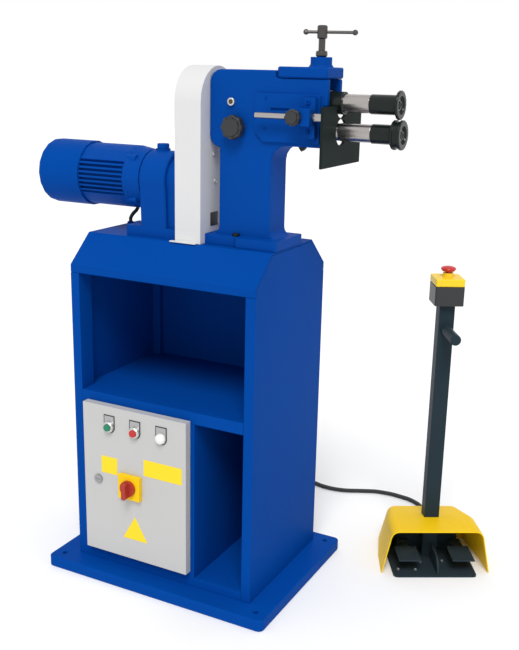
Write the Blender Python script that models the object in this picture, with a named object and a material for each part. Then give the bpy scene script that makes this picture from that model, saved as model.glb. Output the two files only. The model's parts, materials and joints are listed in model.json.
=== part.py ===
"""Combination sheet metal machine.

A motor-driven swaging and beading machine stands on a steel cabinet. A foot pedal station with an
emergency stop stands beside it, joined to the cabinet by a corrugated conduit.

Frame: metres, +Z up, +X along the shafts to the operator's right, +Y away from the operator.
The origin is on the floor, at the centre of the base plate's underside.
"""

import math

import bmesh
import bpy
from mathutils import Matrix, Vector

# Clearances that all the pieces share
GAP = 0.0003
RUNNING_GAP = 0.0001
OVERRUN = 0.004
WELD = 0.000001
SHARP_ANGLE = 35

# Sides of a turned piece
CURVE_STEPS = 12
ARCH_STEPS = 14
ARCH_DROP = 0.35
SMALL_STEPS = 10
MEDIUM_STEPS = 14
LARGE_STEPS = 18

# Base plate
BASE_WIDTH = 0.645
BASE_DEPTH = 0.475
BASE_THICK = 0.030
BASE_CORNER = 0.014
BASE_EDGE = 0.002
ANCHOR_HOLE = 0.014
ANCHOR_INSET = 0.032

# Cabinet
CABINET_WIDTH = 0.520
CABINET_DEPTH = 0.376
CABINET_FRONT = -0.181
CABINET_SHOULDER_Z = 0.822
CABINET_TOP_Z = 0.892
TOP_FRONT_SETBACK = 0.077
TOP_BACK_SETBACK = 0.079
SHEET = 0.003
COVER_SHEET = 0.005
POST_WIDTH = 0.025
POST_RETURN = 0.050
HEADER_BOTTOM_Z = 0.802
SHELF_TOP_Z = 0.499
SHELF_LIP = 0.030
FLOOR_TOP_Z = 0.054
DIVIDER_X = 0.0975
DIVIDER_FLANGE = 0.013
DUCT_WIDTH = 0.024
DUCT_DEPTH = 0.018
FILLER_WIDTH = 0.0265
FILLER_HEIGHT = 0.025

# Control enclosure, its door and what the door carries
ENCLOSURE_WIDTH = 0.300
ENCLOSURE_HEIGHT = 0.400
ENCLOSURE_DEPTH = 0.155
ENCLOSURE_WALL = 0.0015
ENCLOSURE_RIM = 0.024
ENCLOSURE_CENTRE_X = -0.0625
ENCLOSURE_CENTRE_Z = 0.2745
DOOR_WIDTH = 0.307
DOOR_HEIGHT = 0.405
DOOR_THICK = 0.021
DOOR_STANDOFF = 0.0023
DOOR_WALL = 0.0015
HINGE_INSET = 0.0055
HINGE_SETBACK = 0.008
HINGE_PIN = 0.0035
HINGE_ARM = 0.003
HINGE_REACH = 0.020
HINGE_LEAF = 0.004
HINGE_HEIGHT = 0.016
HINGE_SPACING = 0.290
KNUCKLE_SIZE = 0.0075
KNUCKLE_HEIGHT = 0.012
PLATE_THICK = 0.002
PLATE_MARGIN = 0.026
STANDOFF_LENGTH = 0.010
STANDOFF_SIZE = 0.008
STANDOFF_INSET = 0.015
CONTACTOR_WIDTH = 0.045
CONTACTOR_HEIGHT = 0.075
CONTACTOR_DEPTH = 0.068
CONTACTOR_PITCH = 0.052
CONTACTOR_COUNT = 3
CONTACTOR_STEP = 0.014
BUTTON_ROW_Z = 0.4245
START_X = -0.1345
BUTTON_PITCH = 0.0775
BEZEL_DIAMETER = 0.030
BEZEL_HEIGHT = 0.010
BEZEL_BODY = 0.022
BEZEL_BODY_DEPTH = 0.034
BUTTON_DIAMETER = 0.019
BUTTON_PROUD = 0.0035
BUTTON_TRAVEL = 0.0035
LAMP_DIAMETER = 0.027
LAMP_HEIGHT = 0.014
SWITCH_X = -0.0708
SWITCH_Z = 0.2755
SWITCH_PLATE = 0.064
SWITCH_PLATE_HEIGHT = 0.012
SWITCH_BODY = 0.045
SWITCH_BODY_DEPTH = 0.050
SWITCH_STEM = 0.010
SWITCH_SOCKET = 0.012
SWITCH_KNOB = 0.042
SWITCH_KNOB_HEIGHT = 0.009
SWITCH_GRIP = 0.012
SWITCH_GRIP_HEIGHT = 0.015
SWITCH_POINTER = 0.047
LOCK_X = -0.1717
LOCK_Z = 0.2752
LOCK_HEAD = 0.024
LOCK_HEAD_HEIGHT = 0.004
LOCK_BARREL = 0.018
LOCK_SLOT = 0.003
LOCK_SLOT_LENGTH = 0.012
LOCK_CAM_LENGTH = 0.034
LOCK_CAM_WIDTH = 0.012
LOCK_CAM_THICK = 0.003
LOCK_CAM_GAP = 0.0012

# Shafts, their gears and rollers
SHAFT_Y = -0.018
LOWER_SHAFT_Z = 1.166
SHAFT_SPACING = 0.063
SHAFT_DIAMETER = 0.040
JOURNAL_DIAMETER = 0.030
SPIGOT_DIAMETER = 0.022
LOWER_SHAFT_LEFT = 0.014
LOWER_SHAFT_SHOULDER = 0.4564
UPPER_SHAFT_SHOULDER = 0.4507
SHAFT_MODULE = 0.003
SHAFT_TEETH = 21
SHAFT_GEAR_WIDTH = 0.025
DRIVE_MODULE = 0.004
DRIVE_TEETH = 32
DRIVEN_TEETH = 36
DRIVE_GEAR_WIDTH = 0.025
DRIVE_GEAR_LEFT = 0.020
GEAR_BACKLASH = 0.0004
PRESSURE_ANGLE = 20.0
ADDENDUM_SHARE = 1.0
DEDENDUM_SHARE = 1.25
HUB_DIAMETER = 0.044
SLEEVE_DIAMETER = 0.043
UPPER_ROLLER_DIAMETER = 0.063
UPPER_ROLLER_WIDTH = 0.007
LOWER_ROLLER_DIAMETER = 0.065
LOWER_ROLLER_WIDTH = 0.023
LOWER_ROLLER_FACE = 0.5276
LOWER_GROOVE_WIDTH = 0.0104
LOWER_GROOVE_DEPTH = 0.0030
ROLLER_RECESS = 0.005
ROLLER_RECESS_DIAMETER = 0.040
ROLLER_EDGE = 0.0016

# Head casting
HEAD_LEFT = 0.0668
HEAD_HALF_DEPTH = 0.042
HEAD_TOP_Z = 1.296
HEAD_CORNER_Z = 1.120
HEAD_TOP_ROUND = 0.029
HEAD_EDGE = 0.004
COLUMN_LEFT = 0.0937
COLUMN_RIGHT = 0.229
ARM_FILLET = 0.038
FOOT_FILLET = 0.021
FOOT_SINK = 0.001
TOE_LENGTH = 0.008
JAW_BOTTOM_Z = 1.131
JAW_RIGHT = 0.354
HEAD_RIGHT = 0.3635
HEAD_STEP_Z = 1.221
FOOT_LEFT = 0.058
FOOT_RIGHT = 0.262
FOOT_FRONT = -0.090
FOOT_BACK = 0.054
FOOT_THICK = 0.023
FOOT_STEP_X = 0.145
FOOT_STEP_DEPTH = 0.012
FOOT_ROUND = 0.006
PANEL_LEFT = 0.189
PANEL_BOTTOM_Z = 1.1395
PANEL_TOP_Z = 1.246
PANEL_HEIGHT = 0.007
PANEL_CHAMFER = 0.022
PANEL_SLOT_LEFT = 0.2294
PANEL_SLOT_RIGHT = 0.289
PANEL_SLOT_Z = 1.2115
PANEL_SLOT_HEIGHT = 0.006
PANEL_SLOT_DEPTH = 0.004
PANEL_ROUND = 0.004
CHAMBER_LEFT = 0.084
CHAMBER_WIDTH = 0.028
CHAMBER_CLEARANCE = 0.003
CHAMBER_FRONT_GAP = 0.001
SLOT_HALF_WIDTH = 0.028
SLOT_LEFT = 0.300
SLOT_BOTTOM_Z = 1.1965
TILT_LIFT = 0.009
PASSAGE_MARGIN = 0.0015
LOWER_PASSAGE_MARGIN = 0.003
COVER_THICK = 0.004
COVER_LAP = 0.008
COVER_ROUND = 0.008
BUSH_WALL = 0.0065
BUSH_LENGTH = 0.030
REAR_BUSH_RADIUS = 0.020
REAR_BUSH_BANDS = 2
TILT_CLEARANCE = 0.0008
SIGHT_X = 0.1258
SIGHT_Z = 1.2245
SIGHT_DIAMETER = 0.019
SIGHT_HEIGHT = 0.006
SIGHT_SPIGOT = 0.012
SIGHT_DEPTH = 0.010
SIGHT_WELL = 0.011
SIGHT_WELL_DEPTH = 0.002

# Cap on top of the head
CAP_LEFT = 0.2369
CAP_BOTTOM_Z = 1.280
CAP_TOP_Z = 1.3045
CAP_OVERHANG = 0.004
CAP_ROUND = 0.018
CAP_EDGE = 0.003
CAP_BOSS_DIAMETER = 0.048
CAP_BOSS_FLARE = 0.060
CAP_BOSS_TOP_Z = 1.326

# Upper bearing block and pressure screw
BLOCK_LEFT = 0.303
BLOCK_TOP_Z = 1.256
BLOCK_CHAMFER = 0.006
COLLAR_DIAMETER = 0.050
COLLAR_RIGHT = 0.3895
SCREW_X = 0.3275
SCREW_DIAMETER = 0.015
PAD_DIAMETER = 0.020
PAD_HEIGHT = 0.0128
LOCK_NUT_DIAMETER = 0.026
LOCK_NUT_HEIGHT = 0.013
SCREW_HUB_BOTTOM_Z = 1.364
SCREW_HUB_TOP_Z = 1.393
SCREW_HUB_DIAMETER = 0.0226
SCREW_HUB_CHAMFER = 0.0025
TOMMY_DIAMETER = 0.007
TOMMY_BALL = 0.013
TOMMY_LENGTH = 0.108
TOMMY_SHIFT = 0.018
TOMMY_TURN = 17.0

# Star knobs
SHAFT_KNOB_X = 0.139
SHAFT_KNOB_Z = 1.168
SHAFT_KNOB_DIAMETER = 0.056
SHAFT_KNOB_HEIGHT = 0.020
SHAFT_KNOB_STANDOFF = 0.007
STEM_DIAMETER = 0.010
STEM_DEPTH = 0.012
CLAMP_KNOB_X = 0.3115
CLAMP_KNOB_DIAMETER = 0.037
CLAMP_KNOB_HEIGHT = 0.014
CLAMP_KNOB_STANDOFF = 0.003
CLAMP_STEM_DIAMETER = 0.008
CLAMP_STEM_DEPTH = 0.008
STAR_LOBES = 8
STAR_DEPTH_SHARE = 0.10
STAR_POINTS = 32
STAR_DISH_SHARE = 0.45
STAR_COLLAR_SHARE = 0.9
STAR_DISH_DEPTH = 0.0015

# Sheet stop
STOP_ROD_Y = -0.090
STOP_ROD_Z = 1.1985
STOP_ROD_DIAMETER = 0.014
STOP_ROD_LEFT = 0.2024
STOP_SLEEVE_DIAMETER = 0.021
STOP_SLEEVE_LEFT = 0.3412
STOP_CHAMFER = 0.0015
CLAMP_BLOCK_LEFT = 0.319
CLAMP_BLOCK_RIGHT = 0.3455
CLAMP_BLOCK_BOTTOM_Z = 1.152
CLAMP_BLOCK_TOP_Z = 1.240
CLAMP_BLOCK_FRONT = -0.112
CLAMP_PAD_DEPTH = 0.016
CLAMP_LUG_LEFT = 0.2965
CLAMP_LUG_HEIGHT = 0.036
CLAMP_BORE_STEP = 0.327
STOP_PLATE_RIGHT = 0.382
STOP_PLATE_THICK = 0.006
STOP_PLATE_FRONT = -0.120
STOP_PLATE_BACK = 0.098
STOP_PLATE_BOTTOM_Z = 1.092
STOP_PLATE_TOP_Z = 1.2226
STOP_PLATE_HOLE = 0.059
STOP_PLATE_NOTCH = 0.066
STOP_PLATE_CHAMFER = 0.002

# Drive guard
GUARD_LEFT = -0.0045
GUARD_HALF_DEPTH = 0.082
GUARD_WALL = 0.002
GUARD_ARCH_Z = 1.222
GUARD_FLANGE = 0.010
GUARD_FLANGE_THICK = 0.003
GUARD_HOLE = 0.050

# Gear motor
MOTOR_Z = 1.030
COWL_LEFT = -0.4242
COWL_RIGHT = -0.2955
COWL_RADIUS = 0.082
COWL_WALL = 0.002
COWL_ROUND = 0.012
COWL_VENT_LENGTH = 0.090
COWL_VENT_HEIGHT = 0.005
COWL_VENT_PITCH = 0.013
COWL_VENTS = 5
FAN_RADIUS = 0.068
FAN_HUB_RADIUS = 0.018
FAN_BLADES = 7
FAN_BLADE_THICK = 0.003
FAN_WIDTH = 0.026
FAN_DISC = 0.003
FAN_CLEARANCE = 0.012
FAN_SHAFT_RADIUS = 0.008
FAN_SHAFT_DEPTH = 0.030
FRAME_RIGHT = -0.162
FRAME_RADIUS = 0.078
FRAME_CORE_RADIUS = 0.069
FRAME_SPIGOT = 0.006
FIN_COUNT = 7
FIN_PITCH = 0.0112
FIN_THICK = 0.0045
FRAME_CROWN_ANGLES = (33, 57, 74, 90, 106, 123, 147)
FLANGE_RIGHT = -0.118
FLANGE_RADIUS = 0.071
TERMINAL_LEFT = -0.275
TERMINAL_RIGHT = -0.195
TERMINAL_BACK = 0.098
TERMINAL_HEIGHT = 0.070
TERMINAL_EDGE = 0.003
GEARBOX_STEP_X = -0.0435
GEARBOX_RADIUS = 0.070
GEARBOX_WAIST = 0.062
OUTPUT_RADIUS = 0.058
OUTPUT_WAIST = 0.050
GEARBOX_FOOT_LEFT = -0.161
GEARBOX_FOOT_RIGHT = -0.012
GEARBOX_FOOT_DEPTH = 0.124
GEARBOX_FOOT_THICK = 0.024
GEARBOX_EDGE = 0.003
PLUG_X = -0.090
PLUG_DIAMETER = 0.030
PLUG_TOP_Z = 1.116
PLUG_BOSS_TOP_Z = 1.104
OUTPUT_SHAFT_DIAMETER = 0.028
OUTPUT_SHAFT_DEPTH = 0.035
MOTOR_CABLE_DIAMETER = 0.010
MOTOR_CABLE_POINTS = 14
MOTOR_GLAND_DIAMETER = 0.018
MOTOR_GLAND_HEIGHT = 0.008
MOTOR_CABLE_ROUTE = [
    (-0.2330, 0.0800, 0.9947),
    (-0.2330, 0.0800, 0.9860),
    (-0.2330, 0.0790, 0.9760),
    (-0.2270, 0.0700, 0.9500),
    (-0.2245, 0.0590, 0.9330),
    (-0.2340, 0.0515, 0.9200),
    (-0.2400, 0.0500, 0.9090),
    (-0.2400, 0.0500, 0.9045),
    (-0.2400, 0.0500, 0.9003),
]

# Foot pedal station, in its own frame with +Y toward its back
STATION_X = 0.6011
STATION_Y = 0.2396
STATION_TURN = 29.7
STATION_LEFT = -0.1156
STATION_RIGHT = 0.108
STATION_FRONT = -0.023
STATION_BACK = 0.186
STATION_PLATE = 0.004
STATION_CORNER = 0.010
WEB_X = 0.004
WEB_THICK = 0.005
WEB_HEIGHT = 0.046
WEB_FRONT = -0.015
WEB_BACK = 0.080
WEB_ROUND = 0.040
SWITCH_BOX_FRONT = 0.128
SWITCH_BOX_HEIGHT = 0.060
SWITCH_BOX_WIDTH = 0.170
SWITCH_BOX_CHAMFER = 0.008
HOOD_SHEET = 0.003
HOOD_SOLIDIFY_SIDE = -1
HOOD_FOOT_HALF = 0.1465
HOOD_TOP_HALF = 0.1215
HOOD_HEIGHT = 0.122
HOOD_ROUND = 0.022
HOOD_RIDGE_Y = 0.092
HOOD_RIDGE_FOOT_HALF = 0.140
HOOD_RIDGE_TOP_HALF = 0.1185
HOOD_BACK_Y = 0.197
HOOD_BACK_FOOT_HALF = 0.122
HOOD_BACK_TOP_HALF = 0.098
HOOD_BACK_HEIGHT = 0.100
PEDAL_PAD_WIDTH = 0.060
PEDAL_PAD_LENGTH = 0.080
PEDAL_PAD_THICK = 0.004
PEDAL_PAD_FRONT = -0.012
PEDAL_PAD_Z = 0.040
PEDAL_OFFSET = 0.072
PEDAL_ARM_WIDTH = 0.022
PEDAL_ARM_THICK = 0.006
PEDAL_PIVOT_Y = 0.108
PEDAL_PIVOT_Z = 0.034
PEDAL_EYE_DIAMETER = 0.014
PEDAL_PIN_DIAMETER = 0.008
PEDAL_EAR_THICK = 0.004
PEDAL_EAR_GAP = 0.0003
PEDAL_EDGE = 0.001
COLUMN_Y = 0.105
COLUMN_SIZE = 0.040
COLUMN_WALL = 0.002
COLUMN_TOP_Z = 0.722
PEG_Z = 0.655
PEG_DIAMETER = 0.028
PEG_LENGTH = 0.096
PEG_TURN = 2.0
ESTOP_SIZE = 0.075
ESTOP_BOX_HEIGHT = 0.050
ESTOP_COVER_HEIGHT = 0.020
ESTOP_WALL = 0.003
ESTOP_ROUND = 0.004
ESTOP_COLLAR_DIAMETER = 0.028
ESTOP_COLLAR_HEIGHT = 0.0105
ESTOP_STEM_DIAMETER = 0.016
ESTOP_STEM_DEPTH = 0.030
ESTOP_HEAD_DIAMETER = 0.040
ESTOP_HEAD_BOTTOM = 0.006
ESTOP_HEAD_HEIGHT = 0.020
ESTOP_TRAVEL = 0.004

# Conduit between the cabinet and the pedal station
CONDUIT_DIAMETER = 0.013
CONDUIT_ROOT_DIAMETER = 0.0112
CONDUIT_BORE_DIAMETER = 0.0080
CONDUIT_RIBS = 100
CONDUIT_RUN = 0.020
CONDUIT_BORE_POINTS = 40
GLAND_DIAMETER = 0.024
GLAND_NUT_DIAMETER = 0.020
GLAND_NUT_LENGTH = 0.012
GLAND_LENGTH = 0.020
GLAND_X = -0.050
GLAND_Z = 0.120
PEDAL_GLAND_Z = 0.040
CONDUIT_ROUTE = [
    (-0.0500, 0.2153, 0.1200),
    (-0.0500, 0.2250, 0.1200),
    (-0.0500, 0.2350, 0.1200),
    (-0.0490, 0.2800, 0.1120),
    (-0.0430, 0.3600, 0.0620),
    (-0.0250, 0.4400, 0.0180),
    (0.0100, 0.5150, 0.0068),
    (0.0500, 0.5650, 0.0067),
    (0.0856, 0.5780, 0.0067),
    (0.1180, 0.5710, 0.0067),
    (0.1560, 0.5690, 0.0067),
    (0.1977, 0.5774, 0.0067),
    (0.2407, 0.5982, 0.0067),
    (0.2860, 0.6190, 0.0067),
    (0.3315, 0.6259, 0.0067),
    (0.3664, 0.6235, 0.0067),
    (0.4009, 0.6170, 0.0067),
    (0.4371, 0.5960, 0.0067),
    (0.4620, 0.5550, 0.0100),
    (0.4740, 0.5050, 0.0240),
]

# Colours in linear light
BLUE = (0.0052, 0.0742, 0.376)
LIGHT_GREY = (0.658, 0.651, 0.651)
GUARD_WHITE = (0.79, 0.79, 0.79)
YELLOW = (0.956, 0.578, 0.0212)
SLATE = (0.0262, 0.0482, 0.0685)
BLACK = (0.0168, 0.0185, 0.0195)
OXIDE = (0.0212, 0.0262, 0.0262)
STEEL = (0.42, 0.40, 0.385)
BRONZE = (0.42, 0.23, 0.09)
ZINC = (0.62, 0.62, 0.60)
RED = (0.578, 0.007, 0.0168)
KNOB_RED = (0.376, 0.0319, 0.0212)
GREEN = (0.0, 0.188, 0.1022)
WHITE = (0.80, 0.80, 0.78)

# Places that follow from the sizes
HALF_WIDTH = CABINET_WIDTH / 2
CABINET_BACK = CABINET_FRONT + CABINET_DEPTH
UPPER_SHAFT_Z = LOWER_SHAFT_Z + SHAFT_SPACING
HEAD_FRONT = SHAFT_Y - HEAD_HALF_DEPTH
HEAD_BACK = SHAFT_Y + HEAD_HALF_DEPTH
RIM_Y = CABINET_FRONT + SHEET + GAP
DOOR_BACK = CABINET_FRONT - DOOR_STANDOFF
DOOR_FRONT = DOOR_BACK - DOOR_THICK
DOOR_RIGHT = ENCLOSURE_CENTRE_X + DOOR_WIDTH / 2
DOOR_LEFT = ENCLOSURE_CENTRE_X - DOOR_WIDTH / 2
HINGE_X = DOOR_RIGHT - HINGE_INSET
HINGE_Y = DOOR_BACK - HINGE_SETBACK
ENCLOSURE_LEFT = ENCLOSURE_CENTRE_X - ENCLOSURE_WIDTH / 2
ENCLOSURE_RIGHT = ENCLOSURE_CENTRE_X + ENCLOSURE_WIDTH / 2
ENCLOSURE_BOTTOM = ENCLOSURE_CENTRE_Z - ENCLOSURE_HEIGHT / 2
ENCLOSURE_TOP = ENCLOSURE_CENTRE_Z + ENCLOSURE_HEIGHT / 2
ENCLOSURE_BACK = RIM_Y + ENCLOSURE_DEPTH
FOOT_TOP_Z = CABINET_TOP_Z + GAP + FOOT_THICK
PANEL_FRONT = HEAD_FRONT - PANEL_HEIGHT
GUARD_RIGHT = HEAD_LEFT - GAP
CAP_FRONT = HEAD_FRONT - CAP_OVERHANG
BLOCK_BOTTOM_Z = SLOT_BOTTOM_Z + GAP
REAR_PIVOT_X = (HEAD_LEFT + CHAMBER_LEFT) / 2
UPPER_ROLLER_FACE = LOWER_ROLLER_FACE - (LOWER_ROLLER_WIDTH - UPPER_ROLLER_WIDTH) / 2
SHAFT_GEAR_OUTER = SHAFT_MODULE * (SHAFT_TEETH / 2 + ADDENDUM_SHARE)
CHAMBER_RIGHT = CHAMBER_LEFT + CHAMBER_WIDTH
SHAFT_GEAR_LEFT = CHAMBER_LEFT + (CHAMBER_WIDTH - SHAFT_GEAR_WIDTH) / 2
BUSH_LEFT = JAW_RIGHT - BUSH_LENGTH


# Helpers

def clear_scene():
    for item in list(bpy.data.objects):
        bpy.data.objects.remove(item, do_unlink=True)


def finish(name, colour, roughness, metallic=0.0):
    material = bpy.data.materials.new(name)
    material.use_nodes = True
    shader = material.node_tree.nodes["Principled BSDF"]
    shader.inputs["Base Color"].default_value = (*colour, 1.0)
    shader.inputs["Roughness"].default_value = roughness
    shader.inputs["Metallic"].default_value = metallic
    material.diffuse_color = (*colour, 1.0)
    return material


def make_finishes():
    return {
        "blue": finish("blue_paint", BLUE, 0.42),
        "grey": finish("grey_paint", LIGHT_GREY, 0.45),
        "white": finish("white_paint", GUARD_WHITE, 0.45),
        "yellow": finish("yellow_paint", YELLOW, 0.40),
        "slate": finish("slate_paint", SLATE, 0.45),
        "black": finish("black_plastic", BLACK, 0.45),
        "oxide": finish("blackened_steel", OXIDE, 0.35, 0.8),
        "steel": finish("ground_steel", STEEL, 0.28, 1.0),
        "bronze": finish("bronze", BRONZE, 0.35, 1.0),
        "zinc": finish("zinc_plate", ZINC, 0.40, 0.9),
        "red": finish("red_plastic", RED, 0.35),
        "knob_red": finish("knob_red", KNOB_RED, 0.45),
        "green": finish("green_plastic", GREEN, 0.35),
        "lens": finish("lamp_lens", WHITE, 0.20),
    }


def along(axis, across, up, depth):
    """A point whose depth lies along the axis."""
    if axis == "X":
        return Vector((depth, across, up))
    if axis == "Y":
        return Vector((across, depth, up))
    return Vector((across, up, depth))


def prism(outline, axis, start, end):
    """A solid with a flat outline, drawn out along an axis."""
    shape = bmesh.new()
    near = [shape.verts.new(along(axis, *point, start)) for point in outline]
    far = [shape.verts.new(along(axis, *point, end)) for point in outline]
    shape.faces.new(near)
    shape.faces.new(far)
    for index in range(len(outline)):
        after = (index + 1) % len(outline)
        shape.faces.new((near[index], near[after], far[after], far[index]))
    bmesh.ops.recalc_face_normals(shape, faces=shape.faces)
    return shape


def box(low, high):
    outline = [(low[0], low[1]), (high[0], low[1]), (high[0], high[1]), (low[0], high[1])]
    return prism(outline, "Z", low[2], high[2])


def centred_box(centre, size):
    low = [middle - extent / 2 for middle, extent in zip(centre, size)]
    high = [middle + extent / 2 for middle, extent in zip(centre, size)]
    return box(low, high)


def turned(profile, axis, centre, steps, closed=False):
    """A solid turned about an axis from (radius, place along the axis) points."""
    shape = bmesh.new()
    middle = Vector(centre)
    points = [shape.verts.new(along(axis, radius, 0, place)) for radius, place in profile]
    pairs = list(zip(points, points[1:]))
    if closed:
        pairs.append((points[-1], points[0]))
    edges = [shape.edges.new(pair) for pair in pairs]
    direction = along(axis, 0, 0, 1)
    bmesh.ops.spin(shape, geom=points + edges, cent=(0, 0, 0), axis=direction,
                   angle=math.tau, steps=steps, use_merge=True)
    bmesh.ops.remove_doubles(shape, verts=shape.verts, dist=WELD)
    bmesh.ops.recalc_face_normals(shape, faces=shape.faces)
    bmesh.ops.translate(shape, verts=shape.verts, vec=middle)
    return shape


def rod(radius, axis, centre, start, end, steps):
    return turned([(0, start), (radius, start), (radius, end), (0, end)], axis, centre, steps)


def bore_radius(radius, clearance, steps):
    """The corner radius of a faceted bore whose flats clear a rod."""
    return (radius + clearance) / math.cos(math.pi / steps)


def bore(radius, axis, centre, start, end, steps, clearance=GAP):
    return rod(bore_radius(radius, clearance, steps), axis, centre, start, end, steps)


def rounded(corners, steps=4):
    """An outline with an arc at each (across, up, radius) corner."""
    outline = []
    count = len(corners)
    for index in range(count):
        here = Vector(corners[index][:2])
        radius = corners[index][2]
        before = Vector(corners[index - 1][:2]) - here
        after = Vector(corners[(index + 1) % count][:2]) - here
        if radius == 0:
            outline.append(tuple(here))
            continue
        half = before.angle(after) / 2
        reach = radius / math.tan(half)
        first = here + before.normalized() * reach
        last = here + after.normalized() * reach
        inward = (before.normalized() + after.normalized()).normalized()
        middle = here + inward * (radius / math.sin(half))
        begin = math.atan2(first.y - middle.y, first.x - middle.x)
        end = math.atan2(last.y - middle.y, last.x - middle.x)
        sweep = (end - begin + math.pi) % math.tau - math.pi
        for step in range(steps + 1):
            angle = begin + sweep * step / steps
            outline.append((middle.x + radius * math.cos(angle), middle.y + radius * math.sin(angle)))
    following = outline[1:] + outline[:1]
    return [point for point, after in zip(outline, following) if math.dist(point, after) > WELD]


def rounded_box_outline(low, high, radius, steps=3):
    return rounded([(low[0], low[1], radius), (high[0], low[1], radius),
                    (high[0], high[1], radius), (low[0], high[1], radius)], steps)


def gathered(shapes):
    """Separate solids in one mesh."""
    whole = bmesh.new()
    for shape in shapes:
        mesh = bpy.data.meshes.new("part_of_tool")
        shape.to_mesh(mesh)
        shape.free()
        whole.from_mesh(mesh)
        bpy.data.meshes.remove(mesh)
    return whole


def place(name, shape, material, origin=(0, 0, 0), parent=None, smooth=True):
    """An object whose mesh is drawn in its parent's frame, with its origin on its joint's axis."""
    bmesh.ops.translate(shape, verts=shape.verts, vec=-Vector(origin))
    mesh = bpy.data.meshes.new(name)
    shape.to_mesh(mesh)
    shape.free()
    if smooth:
        mesh.shade_smooth()
        mesh.set_sharp_from_angle(angle=math.radians(SHARP_ANGLE))
    item = bpy.data.objects.new(name, mesh)
    bpy.context.collection.objects.link(item)
    item.location = origin
    item.parent = parent
    if material:
        mesh.materials.append(material)
    return item


def boolean(item, shapes, operation, together):
    tool = place(f"{item.name}_{operation.lower()}_{len(item.modifiers)}", gathered(shapes), None,
                 parent=item.parent, smooth=False)
    tool.hide_render = True
    tool.display_type = "WIRE"
    step = item.modifiers.new(operation.title(), "BOOLEAN")
    step.operation = operation
    step.solver = "EXACT"
    step.use_self = together
    step.object = tool


def cut(item, *shapes, crossing=False):
    boolean(item, shapes, "DIFFERENCE", crossing)


def join(item, *shapes, crossing=False):
    boolean(item, shapes, "UNION", crossing)


def soften(item, width, segments=2, angle=50):
    step = item.modifiers.new("Bevel", "BEVEL")
    step.width = width
    step.segments = segments
    step.limit_method = "ANGLE"
    step.angle_limit = math.radians(angle)


def turn_shape(shape, angle, axis, centre):
    bmesh.ops.rotate(shape, verts=shape.verts, cent=centre,
                     matrix=Matrix.Rotation(math.radians(angle), 3, axis))
    return shape


# Cabinet

def make_base_plate(finishes):
    corner = (BASE_WIDTH / 2, BASE_DEPTH / 2)
    outline = rounded_box_outline((-corner[0], -corner[1]), corner, BASE_CORNER)
    base = place("base_plate", prism(outline, "Z", 0, BASE_THICK), finishes["blue"])
    soften(base, BASE_EDGE, 1)
    holes = []
    for side in (-1, 1):
        for end in (-1, 1):
            centre = (side * (corner[0] - ANCHOR_INSET), end * (corner[1] - ANCHOR_INSET), 0)
            holes.append(rod(ANCHOR_HOLE / 2, "Z", centre, -OVERRUN, BASE_THICK + OVERRUN, SMALL_STEPS))
    cut(base, *holes)
    return base


def cover_line(inset):
    """The cabinet's roof line seen from the side, drawn in by the inset."""
    front = CABINET_FRONT
    back = CABINET_BACK
    slope_front = math.atan2(CABINET_TOP_Z - CABINET_SHOULDER_Z, TOP_FRONT_SETBACK)
    slope_back = math.atan2(CABINET_TOP_Z - CABINET_SHOULDER_Z, TOP_BACK_SETBACK)
    drop_front = inset * math.tan((math.pi / 2 - slope_front) / 2)
    drop_back = inset * math.tan((math.pi / 2 - slope_back) / 2)
    top = CABINET_TOP_Z - inset
    shift_front = inset * math.tan(slope_front / 2)
    shift_back = inset * math.tan(slope_back / 2)
    return [
        (front + inset, CABINET_SHOULDER_Z - drop_front),
        (front + TOP_FRONT_SETBACK + shift_front, top),
        (back - TOP_BACK_SETBACK - shift_back, top),
        (back - inset, CABINET_SHOULDER_Z - drop_back),
    ]


def make_top_cover(finishes):
    outer = [(CABINET_FRONT, HEADER_BOTTOM_Z)] + cover_line(0) + [(CABINET_BACK, HEADER_BOTTOM_Z)]
    inner = [(CABINET_FRONT + COVER_SHEET, HEADER_BOTTOM_Z)] + cover_line(COVER_SHEET)
    inner.append((CABINET_BACK - COVER_SHEET, HEADER_BOTTOM_Z))
    cover = place("top_cover", prism(outer + inner[::-1], "X", -HALF_WIDTH, HALF_WIDTH), finishes["blue"])
    centre = (MOTOR_CABLE_ROUTE[-1][0], MOTOR_CABLE_ROUTE[-1][1], 0)
    top = CABINET_TOP_Z
    gland = [
        rod(MOTOR_GLAND_DIAMETER / 2, "Z", centre, top - COVER_SHEET / 2, top + MOTOR_GLAND_HEIGHT,
            SMALL_STEPS),
    ]
    join(cover, *gland)
    return cover


def make_side_panel(name, side, finishes):
    """A side sheet under the cover, folded at its front edge into a post with a return."""
    inset = COVER_SHEET + GAP
    foot = BASE_THICK + GAP
    roof = cover_line(inset)
    outline = [
        (CABINET_FRONT, foot),
        (CABINET_FRONT, HEADER_BOTTOM_Z - GAP),
        (CABINET_FRONT + inset, HEADER_BOTTOM_Z - GAP),
        *roof,
        (CABINET_BACK - inset, HEADER_BOTTOM_Z - GAP),
        (CABINET_BACK, HEADER_BOTTOM_Z - GAP),
        (CABINET_BACK, foot),
    ]
    outer = side * HALF_WIDTH
    panel = place(name, prism(outline, "X", outer, outer - side * SHEET), finishes["blue"])
    back = CABINET_FRONT + POST_RETURN
    inner = outer - side * POST_WIDTH
    post = prism([
        (outer - side * SHEET / 2, CABINET_FRONT),
        (inner, CABINET_FRONT),
        (inner, back),
        (inner + side * SHEET, back),
        (inner + side * SHEET, CABINET_FRONT + SHEET),
        (outer - side * SHEET / 2, CABINET_FRONT + SHEET),
    ], "Z", foot, HEADER_BOTTOM_Z - GAP)
    join(panel, post)
    return panel


def deck_outline(half, front, back):
    """A sheet that fills the cabinet, notched round the two posts."""
    notch = HALF_WIDTH - POST_WIDTH - GAP
    stop = CABINET_FRONT + POST_RETURN + GAP
    return [(-notch, front), (notch, front), (notch, stop), (half, stop),
            (half, back), (-half, back), (-half, stop), (-notch, stop)]


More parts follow.
